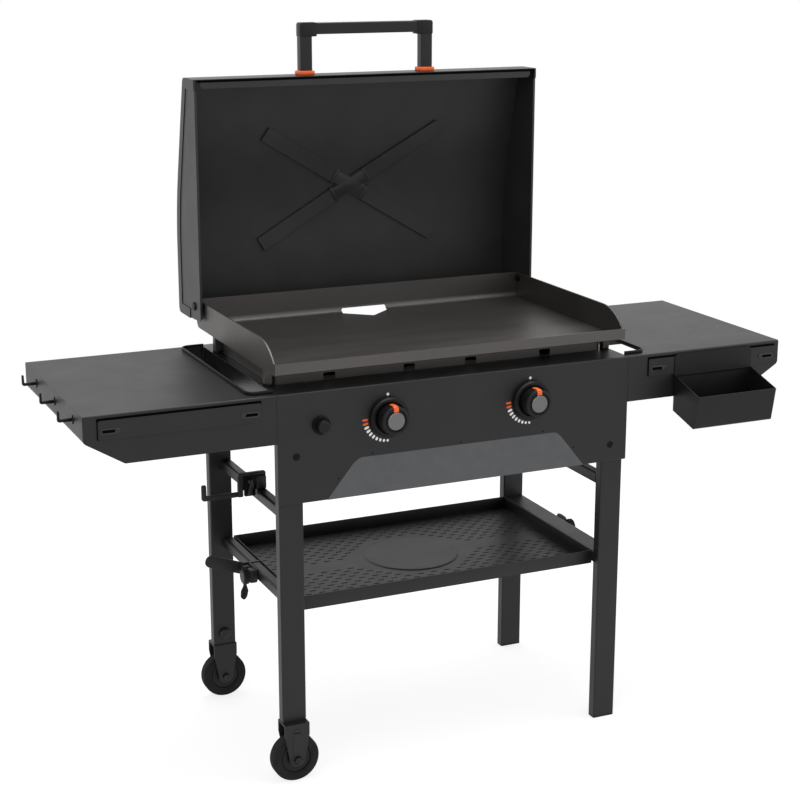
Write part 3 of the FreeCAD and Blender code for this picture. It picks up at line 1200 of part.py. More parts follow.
def hood_shell():
    """Rolled outer skin: top, back and foot in one sheet, with a band turned over each end."""
    outer = prism(hood_section(0, 0), "yz", -HOOD_HALF, HOOD_HALF)
    inner = prism(hood_section(-1, SHEET), "yz", -HOOD_END_OUTER, HOOD_END_OUTER)
    opening = prism(hood_section(-1, HOOD_END_FLANGE), "yz", -HOOD_HALF - 1, HOOD_HALF + 1)
    under = block(-HOOD_HALF - 1, HOOD_HALF + 1, HOOD_FRONT - 1, HOOD_FLANGE_START,
                  HOOD_FOOT - 10, HINGE_Z + HOOD_END_FLANGE)
    skin = outer.cut([inner, opening, under])
    half = HOOD_HALF - HOOD_LIP_INSET
    lip = prism([(-half, HOOD_TOP - HOOD_LIP_HEIGHT, 8), (half, HOOD_TOP - HOOD_LIP_HEIGHT, 8),
                 (half, HOOD_TOP - SHEET), (-half, HOOD_TOP - SHEET)], "xz",
                HOOD_FRONT, HOOD_FRONT + SHEET)
    return joined([skin, lip])


def hood_end():
    """Right end panel set behind the skin's band, with a narrow return along its free edge."""
    gap = SHEET + CLEARANCE
    points = inset(hood_profile(), (0, 0, gap, gap, gap, gap))
    panel = prism(points, "yz", HOOD_END_INNER, HOOD_END_OUTER)
    lip = block(HOOD_END_INNER - HOOD_END_RETURN, HOOD_END_INNER, HOOD_FRONT, HOOD_FRONT + SHEET,
                HOOD_END_FOOT + 4, HOOD_TOP - HOOD_LIP_HEIGHT - 4)
    return joined([panel, lip]).cut(pivot_bores(PIVOT_SHOULDER + PIN_CLEARANCE))


def hood_stiffener():
    """Crossed pressed bars that follow the inside of the hood's back."""
    near = SHEET + CLEARANCE
    reach = BAR_HALF_SPAN + BAR_WIDTH
    space = prism(hood_section(0, near), "yz", -reach, reach)
    moved = space.copy()
    moved.translate(Vector(0, -BAR_DEPTH, 0))
    layer = space.cut(moved)
    bars = []
    for way in (-1, 1):
        run = Vector(2 * BAR_HALF_SPAN, way * (BAR_TOP_Z - BAR_LOW_Z), 0)
        run.normalize()
        side = Vector(-run.y, run.x, 0) * (BAR_WIDTH / 2)
        low = Vector(-BAR_HALF_SPAN, BAR_LOW_Z if way > 0 else BAR_TOP_Z, 0)
        high = Vector(BAR_HALF_SPAN, BAR_TOP_Z if way > 0 else BAR_LOW_Z, 0)
        corners = [(p.x, p.y) for p in (low - side, high - side, high + side, low + side)]
        bars.append(prism(corners, "xz", HOOD_FRONT, HOOD_BACK + 20))
    return layer.common(bars[0].fuse(bars[1])).removeSplitter()


def handle_bar():
    """Square grip between the two elbows."""
    top = HANDLE_TOP - HANDLE_BAR_DROP
    half = HANDLE_BAR / 2
    end = HANDLE_X + POST_WIDTH / 2 - ELBOW_WIDTH + SOCKET_DEPTH
    return prism(rectangle(HANDLE_Y - half, HANDLE_Y + half, top - HANDLE_BAR, top, 2), "yz",
                 -end, end)


def handle_elbow():
    """Right corner block: outer corner rounded, socket for the bar."""
    outer = HANDLE_X + POST_WIDTH / 2
    inner = outer - ELBOW_WIDTH
    bottom = HANDLE_TOP - ELBOW_HEIGHT
    half = ELBOW_DEPTH / 2
    points = [(inner, bottom, 2), (outer, bottom), (outer, HANDLE_TOP, ELBOW_CORNER),
              (inner, HANDLE_TOP, 2)]
    body = prism(points, "xz", HANDLE_Y - half, HANDLE_Y + half)
    bar = HANDLE_BAR / 2 + FIT / 2
    top = HANDLE_TOP - HANDLE_BAR_DROP + FIT / 2
    socket = block(inner - 1, inner + SOCKET_DEPTH + FIT, HANDLE_Y - bar, HANDLE_Y + bar,
                   top - HANDLE_BAR - FIT, top)
    return body.cut(socket)


def handle_post():
    """Right upright tube of the handle."""
    half = POST_WIDTH / 2
    deep = POST_DEPTH / 2
    return prism(rectangle(HANDLE_X - half, HANDLE_X + half, HANDLE_Y - deep, HANDLE_Y + deep, 3),
                 "xy", HOOD_TOP + GROMMET_HEIGHT, HANDLE_TOP - ELBOW_HEIGHT)


def handle_grommet():
    """Coloured collar between the hood and the post."""
    half = GROMMET_WIDTH / 2
    deep = GROMMET_DEPTH / 2
    foot = prism(rectangle(HANDLE_X - half, HANDLE_X + half, HANDLE_Y - deep, HANDLE_Y + deep, 8),
                 "xy", HOOD_TOP, HOOD_TOP + GROMMET_HEIGHT)
    edges = [e for e in foot.Edges
             if abs(e.BoundBox.ZMin - HOOD_TOP - GROMMET_HEIGHT) < 1e-3
             and abs(e.BoundBox.ZMax - HOOD_TOP - GROMMET_HEIGHT) < 1e-3]
    return foot.makeChamfer(2.5, edges)


# Grease cup
def cup_bracket():
    """Two-armed hanger screwed to the back wall; the cup's rim rests on its arms."""
    y0 = FRAME_BACK + SHEET
    half = CUP_WIDTH / 2 + FIT + CLEARANCE
    arm_top = CUP_TOP - CUP_RIM_THICKNESS
    plate = block(-half - BRACKET_SHEET, half + BRACKET_SHEET, y0, y0 + BRACKET_SHEET,
                  arm_top - BRACKET_HEIGHT, arm_top)
    arms = [plate]
    reach = y0 + BRACKET_SHEET + CUP_DEPTH
    for side in (-1, 1):
        points = [(y0, arm_top - BRACKET_HEIGHT), (reach, arm_top - 10, 3), (reach, arm_top),
                  (y0, arm_top)]
        arms.append(prism(points, "yz", side * half, side * (half + BRACKET_SHEET)))
    return joined(arms)


def grease_cup():
    """Tapered sheet cup with a rim, lifted off its bracket to be emptied."""
    y0 = FRAME_BACK + SHEET + BRACKET_SHEET + CLEARANCE
    y1 = y0 + CUP_DEPTH
    half = CUP_WIDTH / 2
    bottom = CUP_TOP - CUP_HEIGHT

    def bowl(shrink, low, high):
        top = outline(rectangle(-half + shrink, half - shrink, y0 + shrink, y1 - shrink,
                                8 - shrink), "xy", high)
        taper = shrink + CUP_TAPER
        foot = outline(rectangle(-half + taper, half - taper, y0 + taper, y1 - taper,
                                 8 - shrink), "xy", low)
        return Part.makeLoft([foot, top], True, True)

    outer = bowl(0, bottom, CUP_TOP)
    inner = bowl(CUP_WALL, bottom + CUP_WALL, CUP_TOP + 0.01)
    rim = prism(rectangle(-half - CUP_RIM, half + CUP_RIM, y0, y1 + CUP_RIM, 8), "xy",
                CUP_TOP - CUP_RIM_THICKNESS, CUP_TOP)
    return joined([outer, rim]).cut(inner)


def all_pieces():
    pieces = {}
    pieces.update(legs())
    pieces["leg_end_caps"] = leg_end_caps()
    pieces.update(side_rails())
    pieces["caster_forks"] = group([fork(True), fork(False)])
    pieces["fork_bolts"] = group([fork_bolt(), flipped(fork_bolt())])
    pieces["caster_axles"] = group([caster_axle(), flipped(caster_axle())])
    pieces["front_wheel_hub"] = wheel_hub()
    pieces["front_wheel_tyre"] = wheel_tyre()
    pieces["rear_wheel_hub"] = flipped(wheel_hub())
    pieces["rear_wheel_tyre"] = flipped(wheel_tyre())
    pieces["bottom_shelf"] = bottom_shelf()
    pieces["tank_hanger"] = tank_hanger()
    pieces["tank_brace"] = tank_brace()
    pieces["left_wing_knob"] = wing_knob(-(LEG_INNER + RAIL_WIDTH + HANGER_SHEET), -1)
    pieces["right_wing_knob"] = wing_knob(LEG_OUTER, 1)
    pieces["control_panel"] = control_panel()
    pieces["panel_screws"] = group([panel_screw(side, z) for side, z in PANEL_SCREWS])
    pieces["burner_box"] = burner_box()
    pieces["right_shelf"] = shelf()
    pieces["left_shelf"] = mirrored(shelf())
    pieces["well_trims"] = group([well_trim(), mirrored(well_trim())])
    pieces["tool_strips"] = group([tool_strip(STRIP_LEFT_START), tool_strip(STRIP_RIGHT_START)])
    pieces["tool_hooks"] = group([tool_hook(y) for y in HOOK_PLACES])
    pieces["tool_caddy"] = tool_caddy()
    pieces["knob_bezels"] = group([knob_bezel(-1), knob_bezel(1)])
    for name, side in (("left", -1), ("right", 1)):
        pieces[name + "_knob"] = knob(side)
        pieces[name + "_knob_cap"] = knob_cap(side)
        pieces[name + "_valve_stem"] = valve_stem(side)
        pieces[name + "_valve_plug"] = valve_plug(side)
    pieces["gas_valves"] = group([gas_valve(-1), gas_valve(1)])
    pieces["gas_manifold"] = gas_manifold()
    pieces["gas_inlet"] = gas_inlet()
    pieces["burners"] = group([burner(-1), burner(1)])
    pieces["igniter_module"] = igniter_module()
    pieces["igniter_button"] = igniter_button()
    pieces["griddle_plate"] = griddle_plate()
    pieces["wind_guard"] = wind_guard()
    pieces["plate_feet"] = plate_feet()
    pieces["plate_adjusters"] = plate_adjusters()
    pieces["hood_pivot_screws"] = group([pivot_screw(), mirrored(pivot_screw())])
    pieces["hood_shell"] = hood_shell()
    pieces["hood_right_end"] = hood_end()
    pieces["hood_left_end"] = mirrored(hood_end())
    pieces["hood_stiffener"] = hood_stiffener()
    pieces["handle_bar"] = handle_bar()
    pieces["handle_elbows"] = group([handle_elbow(), mirrored(handle_elbow())])
    pieces["handle_posts"] = group([handle_post(), mirrored(handle_post())])
    pieces["handle_grommets"] = group([handle_grommet(), mirrored(handle_grommet())])
    pieces["cup_bracket"] = cup_bracket()
    pieces["grease_cup"] = grease_cup()
    return pieces


PIECES = all_pieces()
WHOLE = Part.makeCompound(list(PIECES.values())).optimalBoundingBox(False, False)
SHIFT = Vector(-(WHOLE.XMin + WHOLE.XMax) / 2, -(WHOLE.YMin + WHOLE.YMax) / 2, -WHOLE.ZMin)
for name, shape in PIECES.items():
    shape.translate(SHIFT)
    shape.exportStep("parts/" + name + ".step")
print("overall", WHOLE.XLength, WHOLE.YLength, WHOLE.ZLength)
print("drawing origin to model origin", SHIFT.x, SHIFT.y, SHIFT.z)
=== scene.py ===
"""Outdoor gas griddle station: finishes, panel print, pressed tray and small fittings over the CAD model.

Lengths are metres, with +X to the right seen from the front, +Y to the back and +Z up.
"""
import math

import bmesh
import bpy
from mathutils import Matrix, Vector


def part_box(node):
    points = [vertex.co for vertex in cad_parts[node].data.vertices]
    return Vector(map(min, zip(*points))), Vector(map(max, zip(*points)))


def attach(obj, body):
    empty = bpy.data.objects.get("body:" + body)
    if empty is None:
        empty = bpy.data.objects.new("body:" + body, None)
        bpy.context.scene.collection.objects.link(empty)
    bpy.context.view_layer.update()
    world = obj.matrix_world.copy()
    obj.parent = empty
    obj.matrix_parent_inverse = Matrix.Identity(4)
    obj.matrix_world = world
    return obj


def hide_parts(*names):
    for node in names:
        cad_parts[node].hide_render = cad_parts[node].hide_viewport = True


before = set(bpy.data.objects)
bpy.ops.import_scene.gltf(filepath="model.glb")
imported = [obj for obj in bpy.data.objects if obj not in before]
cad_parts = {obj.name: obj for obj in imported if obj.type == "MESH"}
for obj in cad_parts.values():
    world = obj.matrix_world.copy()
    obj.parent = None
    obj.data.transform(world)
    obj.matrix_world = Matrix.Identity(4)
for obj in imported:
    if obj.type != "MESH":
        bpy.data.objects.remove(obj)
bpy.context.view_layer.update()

bl_info = {
    "name": "Gas griddle station",
    "version": (1, 0, 0),
    "blender": (4, 5, 0),
    "location": "View3D > Sidebar > Griddle station",
    "description": "Finishes and details of an outdoor gas griddle station",
    "category": "Object",
}

MM = 0.001

# The panel's middle and front face, and the ground, are the zero of the drawing's lengths.
PANEL_LOW, PANEL_HIGH = (Vector(corner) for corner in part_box("control_panel"))
DATUM = Vector(((PANEL_LOW.x + PANEL_HIGH.x) / 2, PANEL_LOW.y, 0))
DECK = PANEL_HIGH.z

# Points that lie closer than this are one point, and edges that bend by less look smooth.
MERGE_REACH = 1e-6
SHARP_ANGLE = math.radians(24)

# Parts of a cloudy pattern's range between which its colour and its gloss change.
BLEND_ENDS = (0.35, 0.65)
GLOSS_ENDS = (0.3, 0.7)
WHITE = (1, 1, 1, 1)

# How an outline's two directions and its depth lie along X, Y and Z.
PLANES = {
    "xy": ((1, 0, 0), (0, 1, 0), (0, 0, 1)),
    "xz": ((1, 0, 0), (0, 0, 1), (0, 1, 0)),
    "yz": ((0, 1, 0), (0, 0, 1), (1, 0, 0)),
}


def place_of(node):
    """Lowest and highest corner of a CAD node, as vectors."""
    low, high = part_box(node)
    return Vector(low), Vector(high)


def middle_of(node):
    """Middle of a CAD node's box."""
    low, high = place_of(node)
    return (low + high) / 2


class StationColours(bpy.types.PropertyGroup):
    """Colours of the station's finishes."""
    coat: bpy.props.FloatVectorProperty(
        name="Powder coat", description="Black powder coat on legs, shelves, panel and rails",
        subtype="COLOR", default=(0.0068, 0.0068, 0.0070), min=0, max=1)
    coat_light: bpy.props.FloatVectorProperty(
        name="Powder coat, light grains", description="Colour of the powder coat's paler grains",
        subtype="COLOR", default=(0.0084, 0.0084, 0.0086), min=0, max=1)
    hood: bpy.props.FloatVectorProperty(
        name="Hood coat", description="Satin black coat of the hood",
        subtype="COLOR", default=(0.0158, 0.0158, 0.0158), min=0, max=1)
    plate: bpy.props.FloatVectorProperty(
        name="Cooking plate", description="Oiled rolled steel of the cooking plate",
        subtype="COLOR", default=(0.0900, 0.0842, 0.0806), min=0, max=1)
    plate_light: bpy.props.FloatVectorProperty(
        name="Cooking plate, light streaks", description="Colour of the plate's paler streaks",
        subtype="COLOR", default=(0.1020, 0.0954, 0.0914), min=0, max=1)
    orange: bpy.props.FloatVectorProperty(
        name="Accent orange", description="Orange grommets, knob pointers and heat marks",
        subtype="COLOR", default=(0.8880, 0.1330, 0.0240), min=0, max=1)
    white: bpy.props.FloatVectorProperty(
        name="White print", description="White heat marks on the panel",
        subtype="COLOR", default=(0.93, 0.93, 0.91), min=0, max=1)
    band: bpy.props.FloatVectorProperty(
        name="Panel band", description="Grey painted band on the panel's lower edge",
        subtype="COLOR", default=(0.088, 0.090, 0.094), min=0, max=1)


class StationSizes(bpy.types.PropertyGroup):
    """Sizes of the pieces that this script adds."""
    print_thickness: bpy.props.FloatProperty(
        name="Print thickness", description="Thickness of paint on the panel",
        subtype="DISTANCE", default=0.15 * MM, min=0)
    mark_radius: bpy.props.FloatProperty(
        name="Heat mark radius", description="Radius of the ring of heat marks round a knob",
        subtype="DISTANCE", default=45.5 * MM, min=0)
    mark_count: bpy.props.IntProperty(
        name="Heat marks", description="Number of heat marks round a knob", default=10, min=3)
    mark_start: bpy.props.FloatProperty(
        name="First heat mark", description="Angle of the first heat mark",
        subtype="ANGLE", default=math.radians(183))
    mark_step: bpy.props.FloatProperty(
        name="Heat mark step", description="Angle between two heat marks",
        subtype="ANGLE", default=math.radians(9.6))
    mark_length: bpy.props.FloatProperty(
        name="Longest heat mark", description="Length of the first white heat mark",
        subtype="DISTANCE", default=9.5 * MM, min=0)
    mark_width: bpy.props.FloatProperty(
        name="Heat mark width", description="Width of a heat mark",
        subtype="DISTANCE", default=4.6 * MM, min=0)
    slot_length: bpy.props.FloatProperty(
        name="Slot length", description="Length of a slot in the tray",
        subtype="DISTANCE", default=14 * MM, min=0)
    slot_width: bpy.props.FloatProperty(
        name="Slot width", description="Width of a slot in the tray",
        subtype="DISTANCE", default=4 * MM, min=0)
    slot_pitch: bpy.props.FloatProperty(
        name="Slot pitch", description="Distance between two slots of a row",
        subtype="DISTANCE", default=28.5 * MM, min=0.001)
    row_pitch: bpy.props.FloatProperty(
        name="Row pitch", description="Distance between two rows of slots",
        subtype="DISTANCE", default=13.9 * MM, min=0.001)
    disc_radius: bpy.props.FloatProperty(
        name="Disc radius", description="Radius of the tray's plain raised disc",
        subtype="DISTANCE", default=95 * MM, min=0)
    disc_rise: bpy.props.FloatProperty(
        name="Disc rise", description="Height of the tray's raised disc",
        subtype="DISTANCE", default=1.6 * MM, min=0)
    sheet: bpy.props.FloatProperty(
        name="Sheet thickness", description="Thickness of the tray's sheet metal",
        subtype="DISTANCE", default=1.5 * MM, min=0)
    pointer_width: bpy.props.FloatProperty(
        name="Pointer width", description="Width of a knob's orange pointer",
        subtype="DISTANCE", default=9.5 * MM, min=0)


class StationStage(bpy.types.PropertyGroup):
    """Camera, floor and lamps."""
    camera_place: bpy.props.FloatVectorProperty(
        name="Camera place", description="Where the camera stands",
        subtype="TRANSLATION", default=(-1.37149, -3.02728, 1.54109))
    camera_turn: bpy.props.FloatVectorProperty(
        name="Camera turn", description="How the camera is turned",
        subtype="EULER", default=(math.radians(75.19), 0, math.radians(-24.13)))
    lens: bpy.props.FloatProperty(
        name="Lens", description="Focal length of the camera in millimetres", default=78.23, min=1)
    shift: bpy.props.FloatVectorProperty(
        name="Shift", description="Shift of the camera's frame", size=2, default=(0.0048, -0.0061))
    surround: bpy.props.FloatProperty(
        name="Surround light", description="Strength of the even light from all sides",
        default=0.62, min=0)
    key: bpy.props.FloatProperty(
        name="Key lamp", description="Power of the large lamp above the front left",
        subtype="POWER", default=25, min=0)
    side: bpy.props.FloatProperty(
        name="Side lamp", description="Power of the soft lamp on the right",
        subtype="POWER", default=18, min=0)
    top: bpy.props.FloatProperty(
        name="Top lamp", description="Power of the lamp straight above",
        subtype="POWER", default=70, min=0)
    floor_reach: bpy.props.FloatProperty(
        name="Floor reach", description="Half the length of the pale floor",
        subtype="DISTANCE", default=14, min=1)


def add_node(tree, kind, inputs=None, **settings):
    """Adds a shader node, sets it, and feeds its inputs from plain values or from other nodes."""
    node = tree.nodes.new(kind)
    for name, value in settings.items():
        setattr(node, name, value)
    for name, value in (inputs or {}).items():
        if isinstance(value, bpy.types.NodeSocket):
            tree.links.new(value, node.inputs[name])
        else:
            node.inputs[name].default_value = value
    return node


def grey(value):
    """Neutral colour of one value."""
    return (value, value, value)


def start_finish(name, roughness, metallic=0.0, specular=0.5):
    """New finish with plain values on its shader, which is returned."""
    finish = bpy.data.materials.new(name)
    finish.use_nodes = True
    shader = finish.node_tree.nodes["Principled BSDF"]
    shader.inputs["Roughness"].default_value = roughness
    shader.inputs["Metallic"].default_value = metallic
    shader.inputs["Specular IOR Level"].default_value = specular
    return shader


def cloud(shader, scale, detail, stretch=(1, 1, 1)):
    """Cloudy pattern on the object's own coordinates, stretched along its axes."""
    tree = shader.id_data
    place = add_node(tree, "ShaderNodeTexCoord")
    mapping = add_node(tree, "ShaderNodeMapping",
                       {"Vector": place.outputs["Object"], "Scale": stretch})
    noise = add_node(tree, "ShaderNodeTexNoise",
                     {"Vector": mapping.outputs["Vector"], "Scale": scale, "Detail": detail})
    return noise.outputs["Fac"]


def blend_colours(shader, pattern, dark, light):
    """Colours the shader between two colours by a pattern."""
    tree = shader.id_data
    ramp = add_node(tree, "ShaderNodeValToRGB", {"Fac": pattern})
    for end, spot, colour in zip(ramp.color_ramp.elements, BLEND_ENDS, (dark, light)):
        end.position = spot
        end.color = (*colour, 1)
    tree.links.new(ramp.outputs["Color"], shader.inputs["Base Color"])


def vary_gloss(shader, pattern, low, high):
    """Moves the shader's roughness between two values by a pattern."""
    tree = shader.id_data
    spread = add_node(tree, "ShaderNodeMapRange",
                      {"Value": pattern, "From Min": GLOSS_ENDS[0], "From Max": GLOSS_ENDS[1],
                       "To Min": low, "To Max": high})
    tree.links.new(spread.outputs["Result"], shader.inputs["Roughness"])


def roughen(shader, pattern, strength, depth, edge=0.0):
    """Fine relief from a pattern, over edges that are rounded by a small radius in millimetres."""
    tree = shader.id_data
    relief = add_node(tree, "ShaderNodeBump",
                      {"Height": pattern, "Strength": strength, "Distance": depth * MM})
    if edge:
        rounding = add_node(tree, "ShaderNodeBevel", {"Radius": edge * MM}, samples=4)
        tree.links.new(rounding.outputs["Normal"], relief.inputs["Normal"])
    tree.links.new(relief.outputs["Normal"], shader.inputs["Normal"])


def powder_coat(name, dark, light, roughness, grain, specular=0.35):
    """Baked powder coat: fine orange-peel grain with faint clouds in colour and gloss."""
    shader = start_finish(name, roughness, specular=specular)
    blend_colours(shader, cloud(shader, 14, 2), dark, light)
    vary_gloss(shader, cloud(shader, 18, 2), roughness - 0.015, roughness + 0.02)
    roughen(shader, cloud(shader, grain, 2), 0.22, 0.12, 0.7)


def moulded_plastic(name, dark, light, roughness, specular=0.4):
    """Moulded plastic with a fine spark-eroded grain."""
    shader = start_finish(name, roughness, specular=specular)
    blend_colours(shader, cloud(shader, 25, 3), dark, light)
    vary_gloss(shader, cloud(shader, 60, 3), roughness - 0.04, roughness + 0.05)
    roughen(shader, cloud(shader, 1800, 2), 0.18, 0.06, 0.4)


def worn_metal(name, dark, light, roughness, grain, stretch=(1, 1, 1)):
    """Bare or plated metal with drawn grain and uneven gloss."""
    shader = start_finish(name, roughness, metallic=1.0)
    blend_colours(shader, cloud(shader, grain / 8, 4, stretch), dark, light)
    vary_gloss(shader, cloud(shader, grain / 3, 3, stretch), roughness - 0.06, roughness + 0.08)
    roughen(shader, cloud(shader, grain, 2, stretch), 0.12, 0.04, 0.3)


def griddle_steel(dark, light):
    """Rolled steel plate with baked oil: warm mottling and faint streaks along the plate."""
    shader = start_finish("seasoned_steel", 0.44, metallic=0.9)
    tree = shader.id_data
    streaks, spots = cloud(shader, 9, 5, (0.35, 1.6, 1)), cloud(shader, 70, 3)
    scaled = add_node(tree, "ShaderNodeMath", {0: streaks, 1: 0.7}, operation="MULTIPLY")
    both = add_node(tree, "ShaderNodeMath", {0: spots, 1: 0.3, 2: scaled.outputs[0]},
                    operation="MULTIPLY_ADD")
    blend_colours(shader, both.outputs[0], dark, light)
    vary_gloss(shader, streaks, 0.41, 0.47)
    roughen(shader, cloud(shader, 900, 2), 0.12, 0.06, 0.35)


def tread_rubber():
    """Solid wheel rubber with scuffs."""
    shader = start_finish("scuffed_rubber", 0.8, specular=0.12)
    blend_colours(shader, cloud(shader, 40, 5), grey(0.0165), (0.0235, 0.0235, 0.0231))
    vary_gloss(shader, cloud(shader, 90, 3), 0.74, 0.9)
    roughen(shader, cloud(shader, 1400, 2), 0.25, 0.08, 0.8)


def hatched_cap():
    """Silver knob cap with fine hatching that runs at a slant across its face."""
    shader = start_finish("knob_cap_metal", 0.38, metallic=1.0)
    tree = shader.id_data
    place = add_node(tree, "ShaderNodeTexCoord")
    turn = add_node(tree, "ShaderNodeMapping",
                    {"Vector": place.outputs["Object"], "Rotation": (0, math.radians(-38), 0)})
    hatch = add_node(tree, "ShaderNodeTexWave",
                     {"Vector": turn.outputs["Vector"], "Scale": 66, "Distortion": 0.4, "Detail": 1},
                     wave_type="BANDS", bands_direction="X")
    blend_colours(shader, hatch.outputs["Fac"], (0.130, 0.130, 0.134), (0.172, 0.172, 0.177))
    roughen(shader, hatch.outputs["Fac"], 0.12, 0.08, 0.5)


def print_ink(name, colour, roughness=0.55, specular=0.35):
    """Screen-printed paint with a very slight mottle."""
    shader = start_finish(name, roughness, specular=specular)
    blend_colours(shader, cloud(shader, 45, 3), [part * 0.9 for part in colour], colour)
    roughen(shader, cloud(shader, 1100, 2), 0.15, 0.05)


def finish_for(slot):
    """The finish that was made for a material slot."""
    return bpy.data.materials[FINISHES.get(slot, slot)]


# Slots whose finish has another name than the slot.
FINISHES = {
    "black_powder_coat": "powder_coat",
    "black_hood_coat": "hood_coat",
    "handle_black": "handle_coat",
    "black_plastic": "moulded_black",
    "orange_plastic": "moulded_orange",
    "tread_rubber": "scuffed_rubber",
    "dark_hardware": "black_oxide",
    "cap_metal": "knob_cap_metal",
    "bright_steel": "zinc_steel",
    "valve_brass": "turned_brass",
    "griddle_steel": "seasoned_steel",
    "cup_aluminium": "pressed_aluminium",
}

# Nodes whose finish differs from the one of their slot.
NODE_FINISHES = {
    # Painted shade: the burner box's deck takes a darker copy of the powder coat.
    "burner_box": "deck_shaded_coat",
    "hood_pivot_screws": "deep_black",
    "igniter_module": "deep_black",
    "panel_screws": "deep_black",
    # Painted shade: the tool caddy takes a darker copy of the powder coat.
    "tool_caddy": "caddy_shaded_coat",
}


def keep_piece(work, name, slot, body, finish=None, merge=False):
    """Turns a worked mesh into a named piece that rides on a body."""
    if merge:
        bmesh.ops.remove_doubles(work, verts=work.verts, dist=MERGE_REACH)
    bmesh.ops.recalc_face_normals(work, faces=work.faces)
    for face in work.faces:
        face.smooth = True
    for edge in work.edges:
        edge.smooth = len(edge.link_faces) == 2 and edge.calc_face_angle(0) < SHARP_ANGLE
    mesh = bpy.data.meshes.new(name)
    work.to_mesh(mesh)
    work.free()
    piece = bpy.data.objects.new(name, mesh)
    bpy.context.scene.collection.objects.link(piece)
    mesh.materials.append(bpy.data.materials[finish] if finish else finish_for(slot))
    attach(piece, body)
    return piece


def points_of(items):
    """Points among what a bmesh operator has made."""
    return [item for item in items if isinstance(item, bmesh.types.BMVert)]


def round_off(work, affect, parts, offset, segments):
    """Rounds edges, or the corners of a flat face, by an offset in metres."""
    bmesh.ops.bevel(work, geom=parts, offset=offset, offset_type="OFFSET", affect=affect,
                    segments=segments, profile=0.5, material=-1)


def raise_faces(work, rise):
    """Gives flat faces a depth along a vector and keeps the faces underneath."""
    made = bmesh.ops.extrude_face_region(work, geom=list(work.faces), use_keep_orig=True)
    bmesh.ops.translate(work, verts=points_of(made["geom"]), vec=rise)


def add_pad(work, length, width, place, turn, depth):
    """Flat pad with round ends, its back on the panel face, standing out towards -Y."""
    points = bmesh.ops.create_circle(work, cap_ends=True, segments=20, radius=width / 2)["verts"]
    stretch = max(length - width, 0) / 2
    for point in points:
        if abs(point.co.x) > 1e-7:
            point.co.x += math.copysign(stretch, point.co.x)
    made = bmesh.ops.extrude_face_region(work, geom=[points[0].link_faces[0]])
    raised = points_of(made["geom"])
    bmesh.ops.translate(work, verts=raised, vec=(0, 0, depth))
    stand = Matrix.Translation(place) @ Matrix.Rotation(-turn, 4, "Y") @ Matrix.Rotation(
        math.radians(90), 4, "X")
    bmesh.ops.transform(work, matrix=stand, verts=list({*points, *raised}))


def add_turned(work, profile, place, direction, steps):
    """Turns a profile of (radius, height) millimetres about an axis through a place."""
    points = [work.verts.new((radius * MM, 0, height * MM)) for radius, height in profile]
    edges = [work.edges.new(pair) for pair in zip(points, points[1:])]
    made = bmesh.ops.spin(work, geom=points + edges, cent=(0, 0, 0), axis=(0, 0, 1),
                          angle=math.tau, steps=steps, use_merge=True)
    reached = {*points, *points_of(made["geom_last"])}
    spread = list(reached)
    while spread:
        for edge in spread.pop().link_edges:
            for point in edge.verts:
                if point not in reached:
                    reached.add(point)
                    spread.append(point)
    turn = Vector((0, 0, 1)).rotation_difference(Vector(direction)).to_matrix().to_4x4()
    bmesh.ops.transform(work, matrix=Matrix.Translation(place) @ turn, verts=list(reached))
    bmesh.ops.remove_doubles(work, verts=list(reached), dist=MERGE_REACH)


def rod(radius, length):
    """Profile of a plain round rod, in millimetres."""
    return [(0, 0), (radius, 0), (radius, length), (0, length)]


def add_wall(work, low, high, edge):
    """Upright wall between two corners with rounded edges."""
    made = bmesh.ops.create_cube(work, size=1)["verts"]
    bmesh.ops.scale(work, verts=made, vec=high - low)
    bmesh.ops.translate(work, verts=made, vec=(low + high) / 2)
    edges = list({line for point in made for line in point.link_edges})
    round_off(work, "EDGES", edges, edge, 2)


def cut_slab(outline, start, end, edge=0.0, plane="xz"):
    """Slab from an outline of (u, v) or (u, v, corner radius) points in drawing millimetres.

    The outline lies in a plane, and the slab runs from start to end across it.
    """
    part = bmesh.new()
    points = [part.verts.new((point[0] * MM, point[1] * MM, 0)) for point in outline]
    part.faces.new(points)
    radii = {point: spot[2] * MM for point, spot in zip(points, outline) if len(spot) > 2}
    for point, radius in radii.items():
        first, second = (other.other_vert(point).co - point.co for other in point.link_edges)
        offset = radius / math.tan(first.angle(second) / 2)
        round_off(part, "VERTICES", [point], offset, 6)
    raise_faces(part, (0, 0, (end - start) * MM))
    bmesh.ops.recalc_face_normals(part, faces=part.faces)
    if edge:
        rims = [line for line in part.edges if line.calc_face_angle(0) > math.radians(60)]
        round_off(part, "EDGES", rims, edge * MM, 2)
    bmesh.ops.translate(part, verts=part.verts, vec=(0, 0, start * MM))
    stand = Matrix.Translation(DATUM) @ Matrix(PLANES[plane]).transposed().to_4x4()
    bmesh.ops.transform(part, matrix=stand, verts=part.verts)
    bmesh.ops.recalc_face_normals(part, faces=part.faces)
    return part


def join_parts(work, *parts):
    """Adds other worked meshes to one and frees them."""
    for part in parts:
        mesh = bpy.data.meshes.new("loose_part")
        part.to_mesh(mesh)
        part.free()
        work.from_mesh(mesh)
        bpy.data.meshes.remove(mesh)
    return work


def add_slabs(work, *slabs):
    """Adds slabs to a worked mesh, each given by what cut_slab takes."""
    return join_parts(work, *(cut_slab(*slab) for slab in slabs))


def stand_part(part, stand):
    """Moves a part that was drawn round the drawing's zero to where a matrix puts it."""
    bmesh.ops.transform(part, matrix=stand @ Matrix.Translation(-DATUM), verts=part.verts)


def rectangle(u, v, half_width, half_height, corner):
    """Outline of a rectangle round a middle, with round corners."""
    return [(u + across * half_width, v + up * half_height, corner)
            for across, up in ((-1, -1), (1, -1), (1, 1), (-1, 1))]


def mirrored(outline, way):
    """Outline on the right for way 1, and its mirror image on the left for way -1."""
    return [(way * spot[0], *spot[1:]) for spot in outline]


